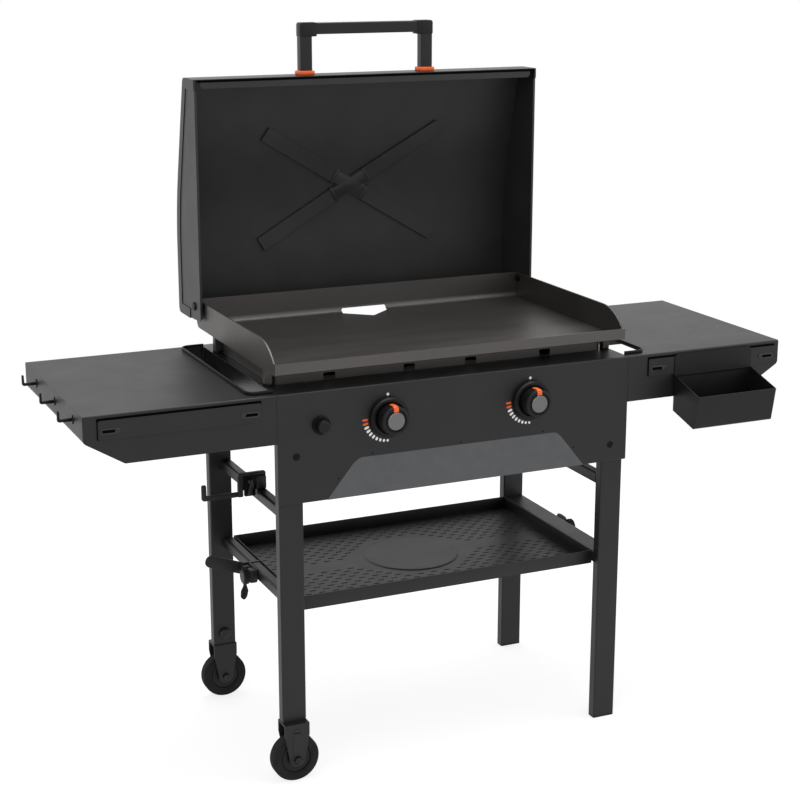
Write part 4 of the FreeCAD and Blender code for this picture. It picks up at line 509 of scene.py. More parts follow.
def draw_ring(work, corners):
    """Closed line through corners; returns its edges."""
    points = [work.verts.new(corner) for corner in corners]
    return [work.edges.new(pair) for pair in zip(points, points[1:] + points[:1])]


def fill_sheet(work, edges, axis, thickness):
    """Fills a flat ring round its holes and gives the sheet a thickness."""
    filled = bmesh.ops.triangle_fill(work, use_beauty=True, use_dissolve=False, edges=edges)
    if not filled["geom"]:
        raise RuntimeError("a sheet could not be filled round its holes")
    bmesh.ops.recalc_face_normals(work, faces=work.faces)
    if sum(face.normal[axis] for face in work.faces) < 0:
        bmesh.ops.reverse_faces(work, faces=work.faces)
    bmesh.ops.solidify(work, geom=work.faces, thickness=thickness)


def copy_of(node):
    """Merged copy of a CAD node's mesh, to be worked on."""
    work = bmesh.new()
    work.from_mesh(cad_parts[node].data)
    bmesh.ops.remove_doubles(work, verts=work.verts, dist=MERGE_REACH)
    return work


def close_holes(work):
    """Fills the openings that a cut has left."""
    open_edges = [edge for edge in work.edges if len(edge.link_faces) == 1]
    bmesh.ops.holes_fill(work, edges=open_edges, sides=0)


def drawn(x, y, z):
    """Point in the model from drawing millimetres."""
    return DATUM + Vector((x, y, z)) * MM


class GRIDDLE_OT_finish_pieces(bpy.types.Operator):
    """Gives every carried-over piece its paint, plating, plastic or rubber"""
    bl_idname = "griddle.finish_pieces"
    bl_label = "Finish the carried-over pieces"

    def execute(self, context):
        colours = context.scene.griddle_colours
        hood, orange = tuple(colours.hood), tuple(colours.orange)
        powder_coat("powder_coat", tuple(colours.coat), tuple(colours.coat_light), 0.44, 950)
        powder_coat("hood_coat", hood, [part * 1.25 for part in hood], 0.44, 1100)
        powder_coat("handle_coat", grey(0.0086), grey(0.0106), 0.36, 1500, 0.28)
        # Painted shade: a darker copy of the powder coat for the tool caddy, whose front tilts down.
        powder_coat("caddy_shaded_coat", (0.0046, 0.0046, 0.0048), (0.0058, 0.0058, 0.0060), 0.44, 950, 0.24)
        # Painted highlight: a lighter, glossier copy of the black coat, which lightens the slot rims,
        # slot screws and the bottle hook's strip.
        powder_coat("satin_highlight_coat", grey(0.0150), grey(0.0200), 0.36, 950, 0.4)
        # Painted shade: a much darker, glossier copy of the powder coat, for the deck that lies under the
        # cooking plate.
        powder_coat("deck_shaded_coat", (0.0030, 0.0030, 0.0031), (0.0040, 0.0040, 0.0041), 0.26, 950, 0.3)
        moulded_plastic("moulded_black", grey(0.0036), grey(0.0058), 0.42, 0.22)
        moulded_plastic("deep_black", grey(0.0016), grey(0.0026), 0.4, 0.12)
        moulded_plastic("moulded_orange", [part * 0.93 for part in orange], orange, 0.4)
        tread_rubber()
        worn_metal("black_oxide", (0.022, 0.022, 0.023), (0.045, 0.045, 0.046), 0.42, 700)
        hatched_cap()
        worn_metal("zinc_steel", (0.42, 0.43, 0.44), (0.60, 0.61, 0.62), 0.32, 500)
        worn_metal("turned_brass", (0.52, 0.35, 0.13), (0.68, 0.48, 0.20), 0.34, 500)
        griddle_steel(tuple(colours.plate), tuple(colours.plate_light))
        worn_metal("pressed_aluminium", (0.50, 0.50, 0.51), (0.68, 0.68, 0.69), 0.3, 260, (1, 1, 0.2))
        print_ink("white_print", tuple(colours.white))
        print_ink("orange_print", orange)
        print_ink("grey_print", tuple(colours.band), 0.5)
        # Flat black that stands for shade: painted shade inside holes and slots and in gaps between
        # parts.
        print_ink("painted_shade_black", grey(0.0016), 0.9, 0.03)
        for name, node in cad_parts.items():
            slot = node.data.materials[0].name.split(".")[0]
            own = NODE_FINISHES.get(name)
            node.data.materials[0] = bpy.data.materials[own] if own else finish_for(slot)
        return {"FINISHED"}


class GRIDDLE_OT_print_panel(bpy.types.Operator):
    """Prints the heat marks and the grey band on the control panel"""
    bl_idname = "griddle.print_panel"
    bl_label = "Print the control panel"

    def execute(self, context):
        sizes = context.scene.griddle_sizes
        face = PANEL_LOW.y
        thick = sizes.print_thickness
        orange_marks, orange_length, orange_width = 2, 11 * MM, 4 * MM
        off_mark_rise, off_mark_radius = 42 * MM, 3.3
        white, orange, dots = bmesh.new(), bmesh.new(), bmesh.new()
        for side in ("left", "right"):
            knob = middle_of(side + "_knob")
            for step in range(sizes.mark_count):
                angle = sizes.mark_start + sizes.mark_step * step
                out = Vector((math.cos(angle), 0, math.sin(angle)))
                place = Vector((knob.x, face, knob.z)) + out * sizes.mark_radius
                if step < orange_marks:
                    add_pad(orange, orange_length, orange_width, place, angle, thick)
                    continue
                share = (step - orange_marks) / max(sizes.mark_count - orange_marks - 1, 1)
                length = sizes.mark_length * (1 - 0.5 * share)
                add_pad(white, length, min(sizes.mark_width, length), place, angle, thick)
            add_turned(white, rod(off_mark_radius, thick / MM),
                       (knob.x, face, knob.z + off_mark_rise), (0, -1, 0), 4)
        # Painted shade: five flat black discs stand for the shade inside small pin holes in the panel.
        for x, z in ((-177.5, 625), (1.5, 625), (176.5, 625), (-245, 585), (245, 585)):
            add_turned(dots, rod(1.5, thick / MM), drawn(x, 0, z), (0, -1, 0), 16)
        keep_piece(dots, "panel_pin_hole_shades", "painted_shade_black", "cart", merge=True)
        keep_piece(white, "heat_marks_white", "white_print", "cart", merge=True)
        keep_piece(orange, "heat_marks_orange", "orange_print", "cart", merge=True)
        self.paint_band(thick)
        return {"FINISHED"}

    def paint_band(self, thick):
        """Low grey band whose top corners are rounded."""
        bottom, shoulder, top = PANEL_LOW.z / MM + 0.4, 611.5, 620
        band = bmesh.new()
        points = [band.verts.new(drawn(x, 0, z)) for x, z in (
            (-267.5, bottom), (267.5, bottom), (215.5, shoulder), (205, top), (-202.5, top),
            (-215, shoulder))]
        band.faces.new(points)
        round_off(band, "VERTICES", points[2:], 6 * MM, 5)
        raise_faces(band, (0, -thick, 0))
        keep_piece(band, "panel_band", "grey_print", "cart", merge=True)


class GRIDDLE_OT_turn_knobs(bpy.types.Operator):
    """Turns the two knobs with their rounded rim and fits the orange pointer strips"""
    bl_idname = "griddle.turn_knobs"
    bl_label = "Turn the knobs"

    def execute(self, context):
        width = context.scene.griddle_sizes.pointer_width
        for side in ("left", "right"):
            low, high = place_of(side + "_knob")
            middle = (low + high) / 2
            deep = (high.y - low.y) / MM
            profile = [(0, 0), (26.6, 0), (27.3, 2), (27.0, deep - 5), (26.5, deep - 2.2),
                       (25.4, deep - 0.7), (24.0, deep), (20.8, deep), (19.9, deep - 0.8),
                       (19.3, deep - 2), (17.7, deep - 2), (17.2, deep - 0.8), (0, deep - 0.8)]
            grip = bmesh.new()
            add_turned(grip, profile, (middle.x, high.y, middle.z), (0, -1, 0), 64)
            knob = keep_piece(grip, side + "_knob_grip", "black_plastic", side + "_knob", merge=True)
            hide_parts(side + "_knob")
            self.lay_pointer(width, side, low, high)
        return {"FINISHED"}

    def lay_pointer(self, width, side, low, high):
        """Orange strip from the cap over the rim and back along the grip."""
        middle, half = (low + high) / 2, width / 2
        lift, bend, thickness = 0.5 * MM, 6 * MM, 1.2 * MM
        outer, inner = 27.2 * MM + lift, 17.4 * MM
        front, back = low.y - lift, high.y - 12 * MM
        strip = bmesh.new()
        points = [strip.verts.new((middle.x - half, y, middle.z + z))
                  for z, y in ((outer, back), (outer, front), (inner, front))]
        edges = [strip.edges.new(pair) for pair in zip(points, points[1:])]
        made = bmesh.ops.extrude_edge_only(strip, edges=edges)
        bmesh.ops.translate(strip, verts=points_of(made["geom"]), vec=(2 * half, 0, 0))
        bends = [edge for edge in strip.edges if len(edge.link_faces) == 2]
        round_off(strip, "EDGES", bends, bend, 8)
        bmesh.ops.recalc_face_normals(strip, faces=strip.faces)
        across = [edge for edge in strip.edges
                  if abs(edge.verts[0].co.x - edge.verts[1].co.x) > half]
        bmesh.ops.subdivide_edges(strip, edges=across, cuts=6)
        for point in strip.verts:
            off = point.co.x - middle.x
            rise = point.co.z - middle.z
            point.co.z = middle.z + math.sqrt(max(rise ** 2 - off ** 2, 0))
        bmesh.ops.solidify(strip, geom=strip.faces, thickness=thickness)
        keep_piece(strip, side + "_knob_pointer", "orange_plastic", side + "_knob", merge=True)


class GRIDDLE_OT_press_tray(bpy.types.Operator):
    """Presses the slotted bottom tray with its plain raised disc and rolled rim"""
    bl_idname = "griddle.press_tray"
    bl_label = "Press the bottom tray"

    def execute(self, context):
        sizes = context.scene.griddle_sizes
        low, high = place_of("bottom_shelf")
        floor = self.slotted_floor(sizes, low, high)
        self.raise_rim(floor, sizes.sheet, low, high)
        middle = (low + high) / 2
        radius, rise = sizes.disc_radius / MM, sizes.disc_rise / MM
        disc = [(radius + 3, -0.3), (radius + 1.5, 0.15), (radius, rise * 0.5),
                (radius - 1.5, rise * 0.9), (radius - 4, rise), (radius - 12, rise * 0.86),
                (0, rise * 0.8)]
        add_turned(floor, disc, (middle.x, middle.y, low.z + sizes.sheet), (0, 0, 1), 72)
        tray = keep_piece(floor, "slotted_tray", "black_powder_coat", "cart")
        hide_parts("bottom_shelf")
        return {"FINISHED"}

    def slot_places(self, sizes, low, high):
        """Middles of the slots: staggered rows that leave the disc and a plain band free."""
        middle = (low + high) / 2
        margin, first_row, most_columns = 14 * MM, 27.75 * MM, 20
        clear_slant, clear_band = 165 * MM, 107 * MM
        reach_y = (high.y - low.y) / 2 - margin
        reach_x = (high.x - low.x) / 2 - sizes.slot_length / 2 - margin
        places = []
        row = 0
        while (step := first_row + sizes.row_pitch * row) <= reach_y:
            offset = sizes.slot_pitch / 2 if row % 2 else 0
            for y in (-step, step):
                for column in range(-most_columns, most_columns + 1):
                    x = column * sizes.slot_pitch + offset
                    clear = abs(x) + abs(y) > clear_slant or abs(y) > clear_band
                    if abs(x) <= reach_x and clear:
                        places.append((middle.x + x, middle.y + y))
            row += 1
        return places

    def slotted_floor(self, sizes, low, high):
        """Tray floor with its slots cut through, given the sheet's thickness."""
        work = bmesh.new()
        z = low.z + sizes.sheet
        inset = 0.2 * MM
        edges = draw_ring(work, [(x, y, z) for x, y in (
            (low.x + inset, low.y + inset), (high.x - inset, low.y + inset),
            (high.x - inset, high.y - inset), (low.x + inset, high.y - inset))])
        stretch = (sizes.slot_length - sizes.slot_width) / 2
        for x, y in self.slot_places(sizes, low, high):
            made = bmesh.ops.create_circle(work, segments=12, radius=sizes.slot_width / 2,
                                           matrix=Matrix.Rotation(math.radians(15), 4, "Z"))
            for point in made["verts"]:
                point.co.x += math.copysign(stretch, point.co.x)
            bmesh.ops.translate(work, verts=made["verts"], vec=(x, y, z))
            edges.extend({edge for point in made["verts"] for edge in point.link_edges})
        fill_sheet(work, edges, 2, 2 * sizes.sheet)
        return work

    def raise_rim(self, work, sheet, low, high):
        """Four upright walls whose top edge is rolled."""
        for near, far in (((low.x, low.y), (high.x, low.y + sheet)),
                          ((low.x, high.y - sheet), (high.x, high.y)),
                          ((low.x, low.y), (low.x + sheet, high.y)),
                          ((high.x - sheet, low.y), (high.x, high.y))):
            add_wall(work, Vector((*near, low.z)), Vector((*far, high.z)), 0.45 * MM)


class GRIDDLE_OT_fit_hood(bpy.types.Operator):
    """Fits the tie of the crossed bars, a black strip of painted shade along the rim, and the handle's
    seats, posts and elbows
    """
    bl_idname = "griddle.fit_hood"
    bl_label = "Fit the hood and its handle"

    def execute(self, context):
        self.tie_bars()
        self.shade_rim()
        self.fit_handle()
        return {"FINISHED"}

    def tie_bars(self):
        """Pressed tie on the crossing of the hood's two bars, along both of them."""
        low, high = place_of("hood_stiffener")
        start = Vector((DATUM.x, low.y - 0.1, (low.z + high.z) / 2))
        struck, spot, normal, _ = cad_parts["hood_stiffener"].ray_cast(start, Vector((0, 1, 0)))
        if not struck:
            raise RuntimeError("the crossed bars were not found in front of the hood's back")
        bar_width, bar_ends = 34 * MM, 18 * MM
        slope = math.atan2(high.z - low.z - bar_width, high.x - low.x - bar_ends)
        lean = Vector((0, -1, 0)).rotation_difference(normal).to_matrix().to_4x4()
        tie = bmesh.new()
        for way, lift in ((1, 0.0), (-1, 0.12)):
            bar = cut_slab(rectangle(0, 0, 43, 13, 3), -1.6 - lift, 3, 0.3)
            for x in (-40, 40):
                add_slabs(bar, (rectangle(x, 0, 3, 16.5, 1), -2.0 - lift, 3, 0.3))
            stand_part(bar, Matrix.Translation(spot) @ lean @ Matrix.Rotation(way * slope, 4, "Y"))
            join_parts(tie, bar)
        keep_piece(tie, "hood_bar_tie", "black_hood_coat", "hood")

    def shade_rim(self):
        """Black strip of painted shade along the upper edge of the shell's front, where the rim's shadow
        line falls.
        """
        low, high = place_of("hood_shell")
        front, top = (low.y - DATUM.y) / MM, high.z / MM
        # Painted shade: this black strip stands for the shadow line under the rim's top edge.
        shade_strip = cut_slab(rectangle(0, top - 3.7, 363, 2.3, 1), front - 0.5, front + 0.6, 0.2)
        keep_piece(shade_strip, "hood_rim_painted_shade", "black_plastic", "hood", "painted_shade_black")

    def fit_handle(self):
        """Orange seats, square posts and short elbows of the hood handle."""
        seats, posts, elbows = bmesh.new(), bmesh.new(), bmesh.new()
        hood_top = place_of("hood_shell")[1].z / MM
        low, high = place_of("handle_elbows")
        bottom, top = low.z / MM, high.z / MM
        y = 441
        elbow = [(143, bottom, 1.8), (143, top, 5), (108, top, 1.8), (108, bottom, 1.8)]
        for side in (-1, 1):
            x = side * 130
            add_slabs(seats, (rectangle(x, y, 17.8, 14.5, 7), hood_top, hood_top + 8.4, 2.2, "xy"))
            add_slabs(posts, (rectangle(x, y, 12.4, 10.6, 2.5), hood_top + 2, bottom + 2, 0, "xy"))
            add_slabs(elbows, (mirrored(elbow, side), y - 11.5, y + 11.5, 1.0))
        grommets = keep_piece(seats, "handle_collars", "orange_plastic", "hood")
        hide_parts("handle_grommets")
        legs = keep_piece(posts, "handle_uprights", "handle_black", "hood")
        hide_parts("handle_posts")
        corners = keep_piece(elbows, "handle_corners", "black_plastic", "hood")
        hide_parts("handle_elbows")


class GRIDDLE_OT_bend_wind_guard(bpy.types.Operator):
    """Bends the vented wind guard under the cooking plate"""
    bl_idname = "griddle.bend_wind_guard"
    bl_label = "Bend the wind guard"

    def execute(self, context):
        side, front, back, wall, corner = 343.5, 72.0, 389.0, 2.0, 15.0
        bottom, top = DECK / MM + 0.3, place_of("wind_guard")[1].z / MM
        flat, inside, behind = side - corner, side - wall, front + wall
        guard = self.vented_front(flat, behind, bottom, top, wall)
        bend = [(side, back), (side, front, corner), (flat, front), (flat, behind),
                (inside, behind, corner - wall), (inside, back)]
        for way in (-1, 1):
            add_slabs(guard, (mirrored(bend, way), bottom, top, 0, "xy"))
        piece = keep_piece(guard, "wind_guard_bent", "griddle_steel", "plate")
        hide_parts("wind_guard")
        return {"FINISHED"}

    def vented_front(self, flat, behind, bottom, top, wall):
        """Flat front of the guard with its four vents cut through."""
        work = bmesh.new()
        edges = draw_ring(work, [drawn(x, behind, z) for x, z in (
            (-flat, bottom), (flat, bottom), (flat, top), (-flat, top))])
        vent_height, half_width, half_height = 760.9, 8.8 * MM, 3.5 * MM
        for x in (-232.5, -71.5, 56.5, 216.5):
            points = bmesh.ops.create_circle(work, segments=20, radius=3 * MM)["verts"]
            for point in points:
                across = point.co.x + math.copysign(half_width, point.co.x)
                rise = point.co.y + math.copysign(half_height, point.co.y)
                point.co = drawn(x, behind, vent_height) + Vector((across, 0, rise))
            edges.extend({edge for point in points for edge in point.link_edges})
        fill_sheet(work, edges, 1, wall * MM)
        return work


class GRIDDLE_OT_fit_shelves(bpy.types.Operator):
    """Opens the right well, trims both wells, and fits hooks, painted shade pads behind the strips and in
    their slots, and slot screws
    """
    bl_idname = "griddle.fit_shelves"
    bl_label = "Fit the side shelves"

    def execute(self, context):
        self.open_well()
        self.trim_wells()
        self.shade_slots()
        self.bend_hooks()
        return {"FINISHED"}

    def open_well(self):
        """The right shelf's deck ends at the well without a tall flange."""
        work = copy_of("right_shelf")
        start, end = drawn(408.3, 0, 0).x, drawn(410.0, 0, 0).x
        low, high = DECK - 41.5 * MM, DECK - 1.6 * MM
        flange = [point for point in work.verts if start < point.co.x < end and low < point.co.z < high]
        bmesh.ops.delete(work, geom=flange, context="VERTS")
        close_holes(work)
        shelf = keep_piece(work, "right_shelf_open", "black_powder_coat", "cart")
        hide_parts("right_shelf")

    def trim_wells(self):
        """Rounded edge trims round three sides of each well."""
        trims = bmesh.new()
        inner, edge, front, back, wall = 362.9, 408.4, 19.4, 413.4, 3.0
        outline = [(inner, front - wall, 1.2), (edge + wall, front - wall, 17),
                   (edge + wall, back + wall, 17), (inner, back + wall, 1.2),
                   (inner, back, 1.2), (edge, back, 14), (edge, front, 14), (inner, front, 1.2)]
        for way in (-1, 1):
            add_slabs(trims, (mirrored(outline, way), DECK / MM, DECK / MM + 6.6, 0.9, "xy"))
        piece = keep_piece(trims, "well_edge_trims", "black_plastic", "cart")
        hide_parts("well_trims")

    def shade_slots(self):
        """Black pads of painted shade behind the two tool strips and deep in their hanging slots, and the
        rims and screws of these slots.
        """
        dark, rims, screws = bmesh.new(), bmesh.new(), bmesh.new()
        z = DECK / MM - 29.1
        head = [(0, 0), (4.9, 0), (4.9, 3.9), (4.0, 4.7), (2.2, 4.9), (1.7, 3.9), (0, 3.9)]
        for start in (-686.8, 407.5):
            # Painted shade: a black pad behind the strip, whose edge above it reads as the strip's shadow
            # line.
            add_slabs(dark, (rectangle(start + 147, z + 4.3, 148.4, 18.9, 1), -1.2, 0.05))
            for end, way in ((start + 7, 1), (start + 288, -1)):
                middle, eye = end + way * 12, end + way * 27.4
                add_slabs(rims, (rectangle(middle, z, 14.6, 5.4, 5), -3.6, -2.8, 0.5))
                # Painted shade: a black pad deep in the slot stands for the shade inside it.
                add_slabs(dark, (rectangle(middle, z, 12, 2.7, 2.4), -3.75, -2.8))
                add_turned(screws, head, drawn(eye, 0, z), (0, -1, 0), 24)
        keep_piece(dark, "strip_painted_shades", "painted_shade_black", "cart")
        # Painted highlight: slot rims and screws take the lighter satin copy of the coat.
        keep_piece(rims, "strip_slot_rims", "black_powder_coat", "cart", "satin_highlight_coat")
        keep_piece(screws, "strip_slot_screws", "black_powder_coat", "cart", "satin_highlight_coat")

    def bend_hooks(self):
        """Three hooks on the left shelf's end: pad, thick bar and thin upright tip."""
        hooks = bmesh.new()
        z = DECK / MM - 20.7
        face = -713.0
        bar = [(face, z - 3), (face, z + 3), (face - 22.6, z + 2.4, 1.5), (face - 23.2, z + 17.8, 1),
               (face - 27, z + 17.8, 1), (face - 27, z - 2.6, 4)]
        for y in (67.4, 199.7, 342.6):
            add_slabs(hooks, (rectangle(y, z, 4, 8, 2.5), face - 1.6, face, 0.4, "yz"),
                      (rectangle(y, z, 8, 3.5, 2), face - 1.8, face, 0.4, "yz"),
                      (bar, y - 2.6, y + 2.6, 0.8))
        piece = keep_piece(hooks, "tool_hook_bars", "black_plastic", "cart")
        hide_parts("tool_hooks")


class GRIDDLE_OT_fit_bottle_holders(bpy.types.Operator):
    """Fits the gas bottle's hook plate, brace and wing screws on the left rails"""
    bl_idname = "griddle.fit_bottle_holders"
    bl_label = "Fit the gas bottle holders"

    def execute(self, context):
        self.hook_plate()
        self.brace_arm()
        self.wing_screw("left", -1, 25, math.radians(180))
        self.wing_screw("right", 1, 13, math.radians(-74))
        return {"FINISHED"}

    def hook_plate(self):
        """Pressed plate with a leaning strip on a black pad of painted shade, and an arm with an upturned
        end.
        """
        back, face = 204.5, 197.5
        base = [(-314, 517.5), (-314, 553, 5), (-371, 553, 5), (-371, 517.5)]
        flange = [(-316, 548), (-316, 553, 2), (-371, 553, 2), (-371, 548)]
        column = [(-361, 506, 2), (-361, 549), (-371, 549), (-371, 506, 2)]
        block = [(-334, 517.5, 2), (-314, 517.5, 2), (-314, 545, 5), (-334, 545, 5)]
        arm = [(-361, 506, 2), (-361, 516), (-433, 516, 2), (-433.5, 538, 3), (-443, 538, 3),
               (-443, 506, 6)]
        foot = [(-333.7, 203), (-315, 203), (-315, 218, 2), (-333.7, 218, 2)]
        work = add_slabs(bmesh.new(), (base, 201.5, back, 0.4), (flange, 195, back, 0.8),
                         (column, face, back, 0.8), (block, face, 202, 1.2), (arm, 200.5, 204, 0.6),
                         (foot, 517, 520, 0.5, "xy"))
        piece = keep_piece(work, "bottle_hook_plate", "black_powder_coat", "cart")
        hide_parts("tank_hanger")
        # Painted shade: a near-black pad under the strip darkens the plate's outlines like shadow.
        shade_plate = cut_slab([(-358, 506, 2), (-336, 506, 2), (-336, 519), (-316, 519), (-316, 548),
                          (-369, 548), (-369, 519), (-358, 519)], 198.5, back - 0.2, 0.3)
        keep_piece(shade_plate, "bottle_hook_painted_shade", "black_plastic", "cart", "deep_black")
        # Painted highlight: the leaning strip takes the lighter satin copy of the coat.
        strip = cut_slab([(-354, 508, 2), (-345, 508, 2), (-340, 524, 6), (-343, 540, 3),
                          (-353, 540, 3), (-352, 533, 2), (-348, 531, 3), (-351, 520, 6)],
                         193.5, 199.5, 1.5)
        keep_piece(strip, "bottle_hook_strip", "black_powder_coat", "cart", "satin_highlight_coat")

    def brace_arm(self):
        """Clamp on the lower rail and a flat arm with a round end."""
        clamp = [(-333.7, 329.5), (-333.7, 353.2), (-336.7, 353.2), (-336.7, 329.5)]
        strap = [(-312.2, 352), (-312.2, 353.2), (-336.7, 353.2, 1), (-336.7, 352)]
        arm = [(-335, 330), (-352, 330.5, 8), (-427, 357, 11), (-419, 380, 11), (-345, 353, 8),
               (-335, 353)]
        lug = [(-336, 334, 2), (-354, 334, 3), (-354, 350, 3), (-336, 350, 2)]
        seat = [(-334, 326, 2), (-349, 326, 3), (-349, 351, 3), (-334, 351, 2)]
        work = add_slabs(bmesh.new(), (clamp, 204, 253, 0.3), (strap, 247, 253, 0.2),
                         (arm, 250, 253, 0.5), (lug, 234, 251, 0.8), (seat, 204.5, 225.5, 1.0))
        piece = keep_piece(work, "bottle_brace_arm", "black_powder_coat", "cart")
        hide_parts("tank_brace")

    def wing_screw(self, side, way, length, swing):
        """Ribbed barrel and one leaf-shaped wing, which stand off by a length on a clamp screw."""
        low, high = place_of(side + "_wing_knob")
        root = (low + high) / 2
        root.x = high.x if way < 0 else low.x
        axis = Vector((way, 0, 0))
        seat = root + axis * length * MM
        barrel = [(0, 0), (14.2, 0), (14.6, 0.8), (14.6, 11), (13, 12.4), (0, 12.9)]
        ribs, rib_circle = 16, 14.4
        work = bmesh.new()
        add_turned(work, rod(2.9, length + 2), root, axis, 24)
        add_turned(work, barrel, seat, axis, 48)
        for rib in range(ribs):
            turn = math.tau * rib / ribs
            out = Vector((way * 0.6, rib_circle * math.cos(turn), rib_circle * math.sin(turn))) * MM
            add_turned(work, [(0, 0), (1.5, 0), (1.5, 10), (0, 10.6)], seat + out, axis, 10)
        leaf = cut_slab([(-3, 8), (3, 8), (3.4, 20, 6), (6.6, 30, 7), (3.4, 43, 6), (-3, 49.5, 4),
                         (-9.5, 43, 6), (-8.6, 30, 7), (-3.4, 20, 6)], -2.3, 2.3, 1.3)
        stand_part(leaf, Matrix.Translation(seat + axis * 6.4 * MM) @ Matrix.Rotation(swing, 4, "X"))
        join_parts(work, leaf)
        piece = keep_piece(work, side + "_wing_screw", "black_plastic", side + "_wing_screw")
        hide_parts(side + "_wing_knob")


class GRIDDLE_OT_fit_casters(bpy.types.Operator):
    """Fits the fork cheeks without their inner tongues, the domed bolts, axle rings and hub faces"""
    bl_idname = "griddle.fit_casters"
    bl_label = "Fit the casters"

    def execute(self, context):
        work = copy_of("caster_forks")
        cheek_top, axle_height = 118 * MM, 46 * MM
        bmesh.ops.bisect_plane(work, geom=[*work.verts, *work.edges, *work.faces], dist=1e-7,
                               plane_co=(0, 0, cheek_top), plane_no=(0, 0, 1), clear_outer=True)
        close_holes(work)
        forks = keep_piece(work, "caster_fork_cheeks", "black_powder_coat", "cart")
        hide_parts("caster_forks")
        bolt = middle_of("fork_bolts")
        dome = [(0, 0), (11.8, 0), (11.8, 4.6), (10.6, 6.8), (7.4, 8), (0, 8.6)]
        bolts, rings = bmesh.new(), bmesh.new()
        for y, way in ((place_of("front_left_leg")[1].y, 1), (place_of("rear_left_leg")[0].y, -1)):
            add_turned(bolts, dome, (bolt.x, y, bolt.z), (0, way, 0), 36)
        piece = keep_piece(bolts, "caster_bolt_heads", "black_powder_coat", "cart")
        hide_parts("fork_bolts")
        low, high = place_of("caster_forks")
        ring = [(8.2, -1), (11.2, -1), (11.2, 0.5), (10.2, 1.1), (9.0, 1.1), (8.2, 0.4), (8.2, -1)]
        for y, way in ((low.y, -1), (high.y, 1)):
            add_turned(rings, ring, (bolt.x, y, axle_height), (0, way, 0), 36)
        keep_piece(rings, "axle_rings", "black_powder_coat", "cart")
        hub = [(10, 5), (10, 1.2), (13, 0.6), (25.5, 0.6), (27.5, 1.6), (27.5, 5), (10, 5)]
        for name in ("front", "rear"):
            low, high = place_of(name + "_wheel_tyre")
            faces = bmesh.new()
            for y, way in ((low.y, 1), (high.y, -1)):
                add_turned(faces, hub, (bolt.x, y, axle_height), (0, way, 0), 56)
            keep_piece(faces, name + "_hub_faces", "black_plastic", name + "_wheel")
        return {"FINISHED"}


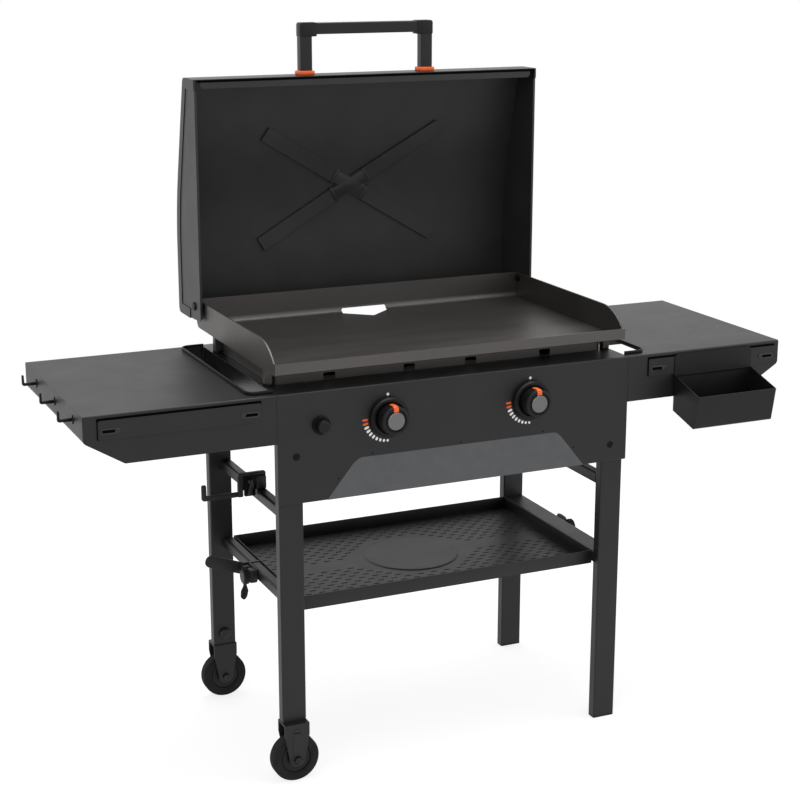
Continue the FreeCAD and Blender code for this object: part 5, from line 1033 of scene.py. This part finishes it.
class GRIDDLE_OT_build_stage(bpy.types.Operator):
    """Sets up the pale floor, the soft lamps and the camera"""
    bl_idname = "griddle.build_stage"
    bl_label = "Build the stage"

    def execute(self, context):
        stage = context.scene.griddle_stage
        self.lay_floor(stage)
        self.light_surround(context, stage)
        self.hang_lamp("key_lamp", (-2.2, -2.6, 3.0), stage.key, 2.2)
        self.hang_lamp("side_lamp", (2.8, -1.4, 1.8), stage.side, 2.0)
        self.hang_lamp("top_lamp", (0.2, 0.3, 3.4), stage.top, 2.6)
        lens = bpy.data.cameras.new("photo_camera")
        lens.sensor_width = 36
        lens.lens = stage.lens
        lens.shift_x, lens.shift_y = stage.shift
        camera = bpy.data.objects.new("photo_camera", lens)
        camera.location = stage.camera_place
        camera.rotation_euler = stage.camera_turn
        context.scene.collection.objects.link(camera)
        context.scene.camera = camera
        context.scene.view_settings.view_transform = "Standard"
        return {"FINISHED"}

    def seen_directly(self, tree):
        """A value that is 1 for rays from the camera, from gloss and through glass."""
        rays = add_node(tree, "ShaderNodeLightPath").outputs
        first = add_node(tree, "ShaderNodeMath", {0: rays["Is Camera Ray"], 1: rays["Is Glossy Ray"]},
                         operation="MAXIMUM")
        second = add_node(tree, "ShaderNodeMath",
                          {0: first.outputs[0], 1: rays["Is Transmission Ray"]}, operation="MAXIMUM")
        return second.outputs[0]

    def lay_floor(self, stage):
        """Pale floor that is white to the camera and still takes the station's shadow."""
        work = bmesh.new()
        bmesh.ops.create_grid(work, x_segments=1, y_segments=1, size=stage.floor_reach)
        bmesh.ops.translate(work, verts=work.verts, vec=(0, 0, -0.2 * MM))
        mesh = bpy.data.meshes.new("pale_floor")
        work.to_mesh(mesh)
        work.free()
        floor = bpy.data.objects.new("pale_floor", mesh)
        bpy.context.scene.collection.objects.link(floor)
        finish = bpy.data.materials.new("pale_floor")
        finish.use_nodes = True
        tree = finish.node_tree
        tree.nodes.clear()
        pale = add_node(tree, "ShaderNodeBsdfDiffuse", {"Color": (*grey(0.8), 1)})
        shade = add_node(tree, "ShaderNodeBsdfDiffuse", {"Color": (*grey(0.34), 1)})
        glow = add_node(tree, "ShaderNodeEmission", {"Color": WHITE, "Strength": 0.78})
        near = add_node(tree, "ShaderNodeAddShader", {0: shade.outputs[0], 1: glow.outputs[0]})
        far = add_node(tree, "ShaderNodeEmission", {"Color": WHITE})
        place = add_node(tree, "ShaderNodeTexCoord")
        distance = add_node(tree, "ShaderNodeVectorMath", {0: place.outputs["Object"]},
                            operation="LENGTH")
        fade = add_node(tree, "ShaderNodeMapRange",
                        {"Value": distance.outputs["Value"], "From Min": 0.9, "From Max": 3.0},
                        interpolation_type="SMOOTHSTEP")
        seen = add_node(tree, "ShaderNodeMixShader",
                        {0: fade.outputs["Result"], 1: near.outputs[0], 2: far.outputs[0]})
        choice = add_node(tree, "ShaderNodeMixShader",
                          {0: self.seen_directly(tree), 1: pale.outputs[0], 2: seen.outputs[0]})
        add_node(tree, "ShaderNodeOutputMaterial", {"Surface": choice.outputs[0]})
        mesh.materials.append(finish)

    def light_surround(self, context, stage):
        """Even light from all sides, and a white background behind the station."""
        world = bpy.data.worlds.new("studio")
        context.scene.world = world
        world.use_nodes = True
        tree = world.node_tree
        tree.nodes.clear()
        soft = add_node(tree, "ShaderNodeBackground", {"Color": WHITE, "Strength": stage.surround})
        white = add_node(tree, "ShaderNodeBackground", {"Color": WHITE, "Strength": 1})
        choice = add_node(tree, "ShaderNodeMixShader",
                          {0: self.seen_directly(tree), 1: soft.outputs[0], 2: white.outputs[0]})
        add_node(tree, "ShaderNodeOutputWorld", {"Surface": choice.outputs[0]})

    def hang_lamp(self, name, place, power, size):
        """Square soft lamp that faces the station's middle."""
        light = bpy.data.lights.new(name, "AREA")
        light.energy = power
        light.size = size
        lamp = bpy.data.objects.new(name, light)
        lamp.location = place
        middle = Vector((0, 0, 0.7))
        lamp.rotation_euler = (middle - Vector(place)).to_track_quat("-Z", "Y").to_euler()
        bpy.context.scene.collection.objects.link(lamp)


class GRIDDLE_PT_station(bpy.types.Panel):
    """Sidebar panel with the station's build steps and values"""
    bl_idname = "GRIDDLE_PT_station"
    bl_label = "Griddle station"
    bl_space_type = "VIEW_3D"
    bl_region_type = "UI"
    bl_category = "Griddle station"

    def draw(self, context):
        layout = self.layout
        for step in STEPS:
            layout.operator(step.bl_idname)
        for group in (context.scene.griddle_colours, context.scene.griddle_sizes,
                      context.scene.griddle_stage):
            box = layout.box()
            for name in group.bl_rna.properties.keys():
                if name not in ("rna_type", "name"):
                    box.prop(group, name)


STEPS = (
    GRIDDLE_OT_finish_pieces,
    GRIDDLE_OT_print_panel,
    GRIDDLE_OT_turn_knobs,
    GRIDDLE_OT_press_tray,
    GRIDDLE_OT_fit_hood,
    GRIDDLE_OT_bend_wind_guard,
    GRIDDLE_OT_fit_shelves,
    GRIDDLE_OT_fit_bottle_holders,
    GRIDDLE_OT_fit_casters,
    GRIDDLE_OT_build_stage,
)
CLASSES = (StationColours, StationSizes, StationStage, *STEPS, GRIDDLE_PT_station)


def register():
    for part in CLASSES:
        bpy.utils.register_class(part)
    bpy.types.Scene.griddle_colours = bpy.props.PointerProperty(type=StationColours)
    bpy.types.Scene.griddle_sizes = bpy.props.PointerProperty(type=StationSizes)
    bpy.types.Scene.griddle_stage = bpy.props.PointerProperty(type=StationStage)


def unregister():
    del bpy.types.Scene.griddle_stage
    del bpy.types.Scene.griddle_sizes
    del bpy.types.Scene.griddle_colours
    for part in reversed(CLASSES):
        bpy.utils.unregister_class(part)


def main():
    register()
    bpy.ops.griddle.finish_pieces()
    bpy.ops.griddle.print_panel()
    bpy.ops.griddle.turn_knobs()
    bpy.ops.griddle.press_tray()
    bpy.ops.griddle.fit_hood()
    bpy.ops.griddle.bend_wind_guard()
    bpy.ops.griddle.fit_shelves()
    bpy.ops.griddle.fit_bottle_holders()
    bpy.ops.griddle.fit_casters()
    bpy.ops.griddle.build_stage()


if __name__ == "__main__":
    main()
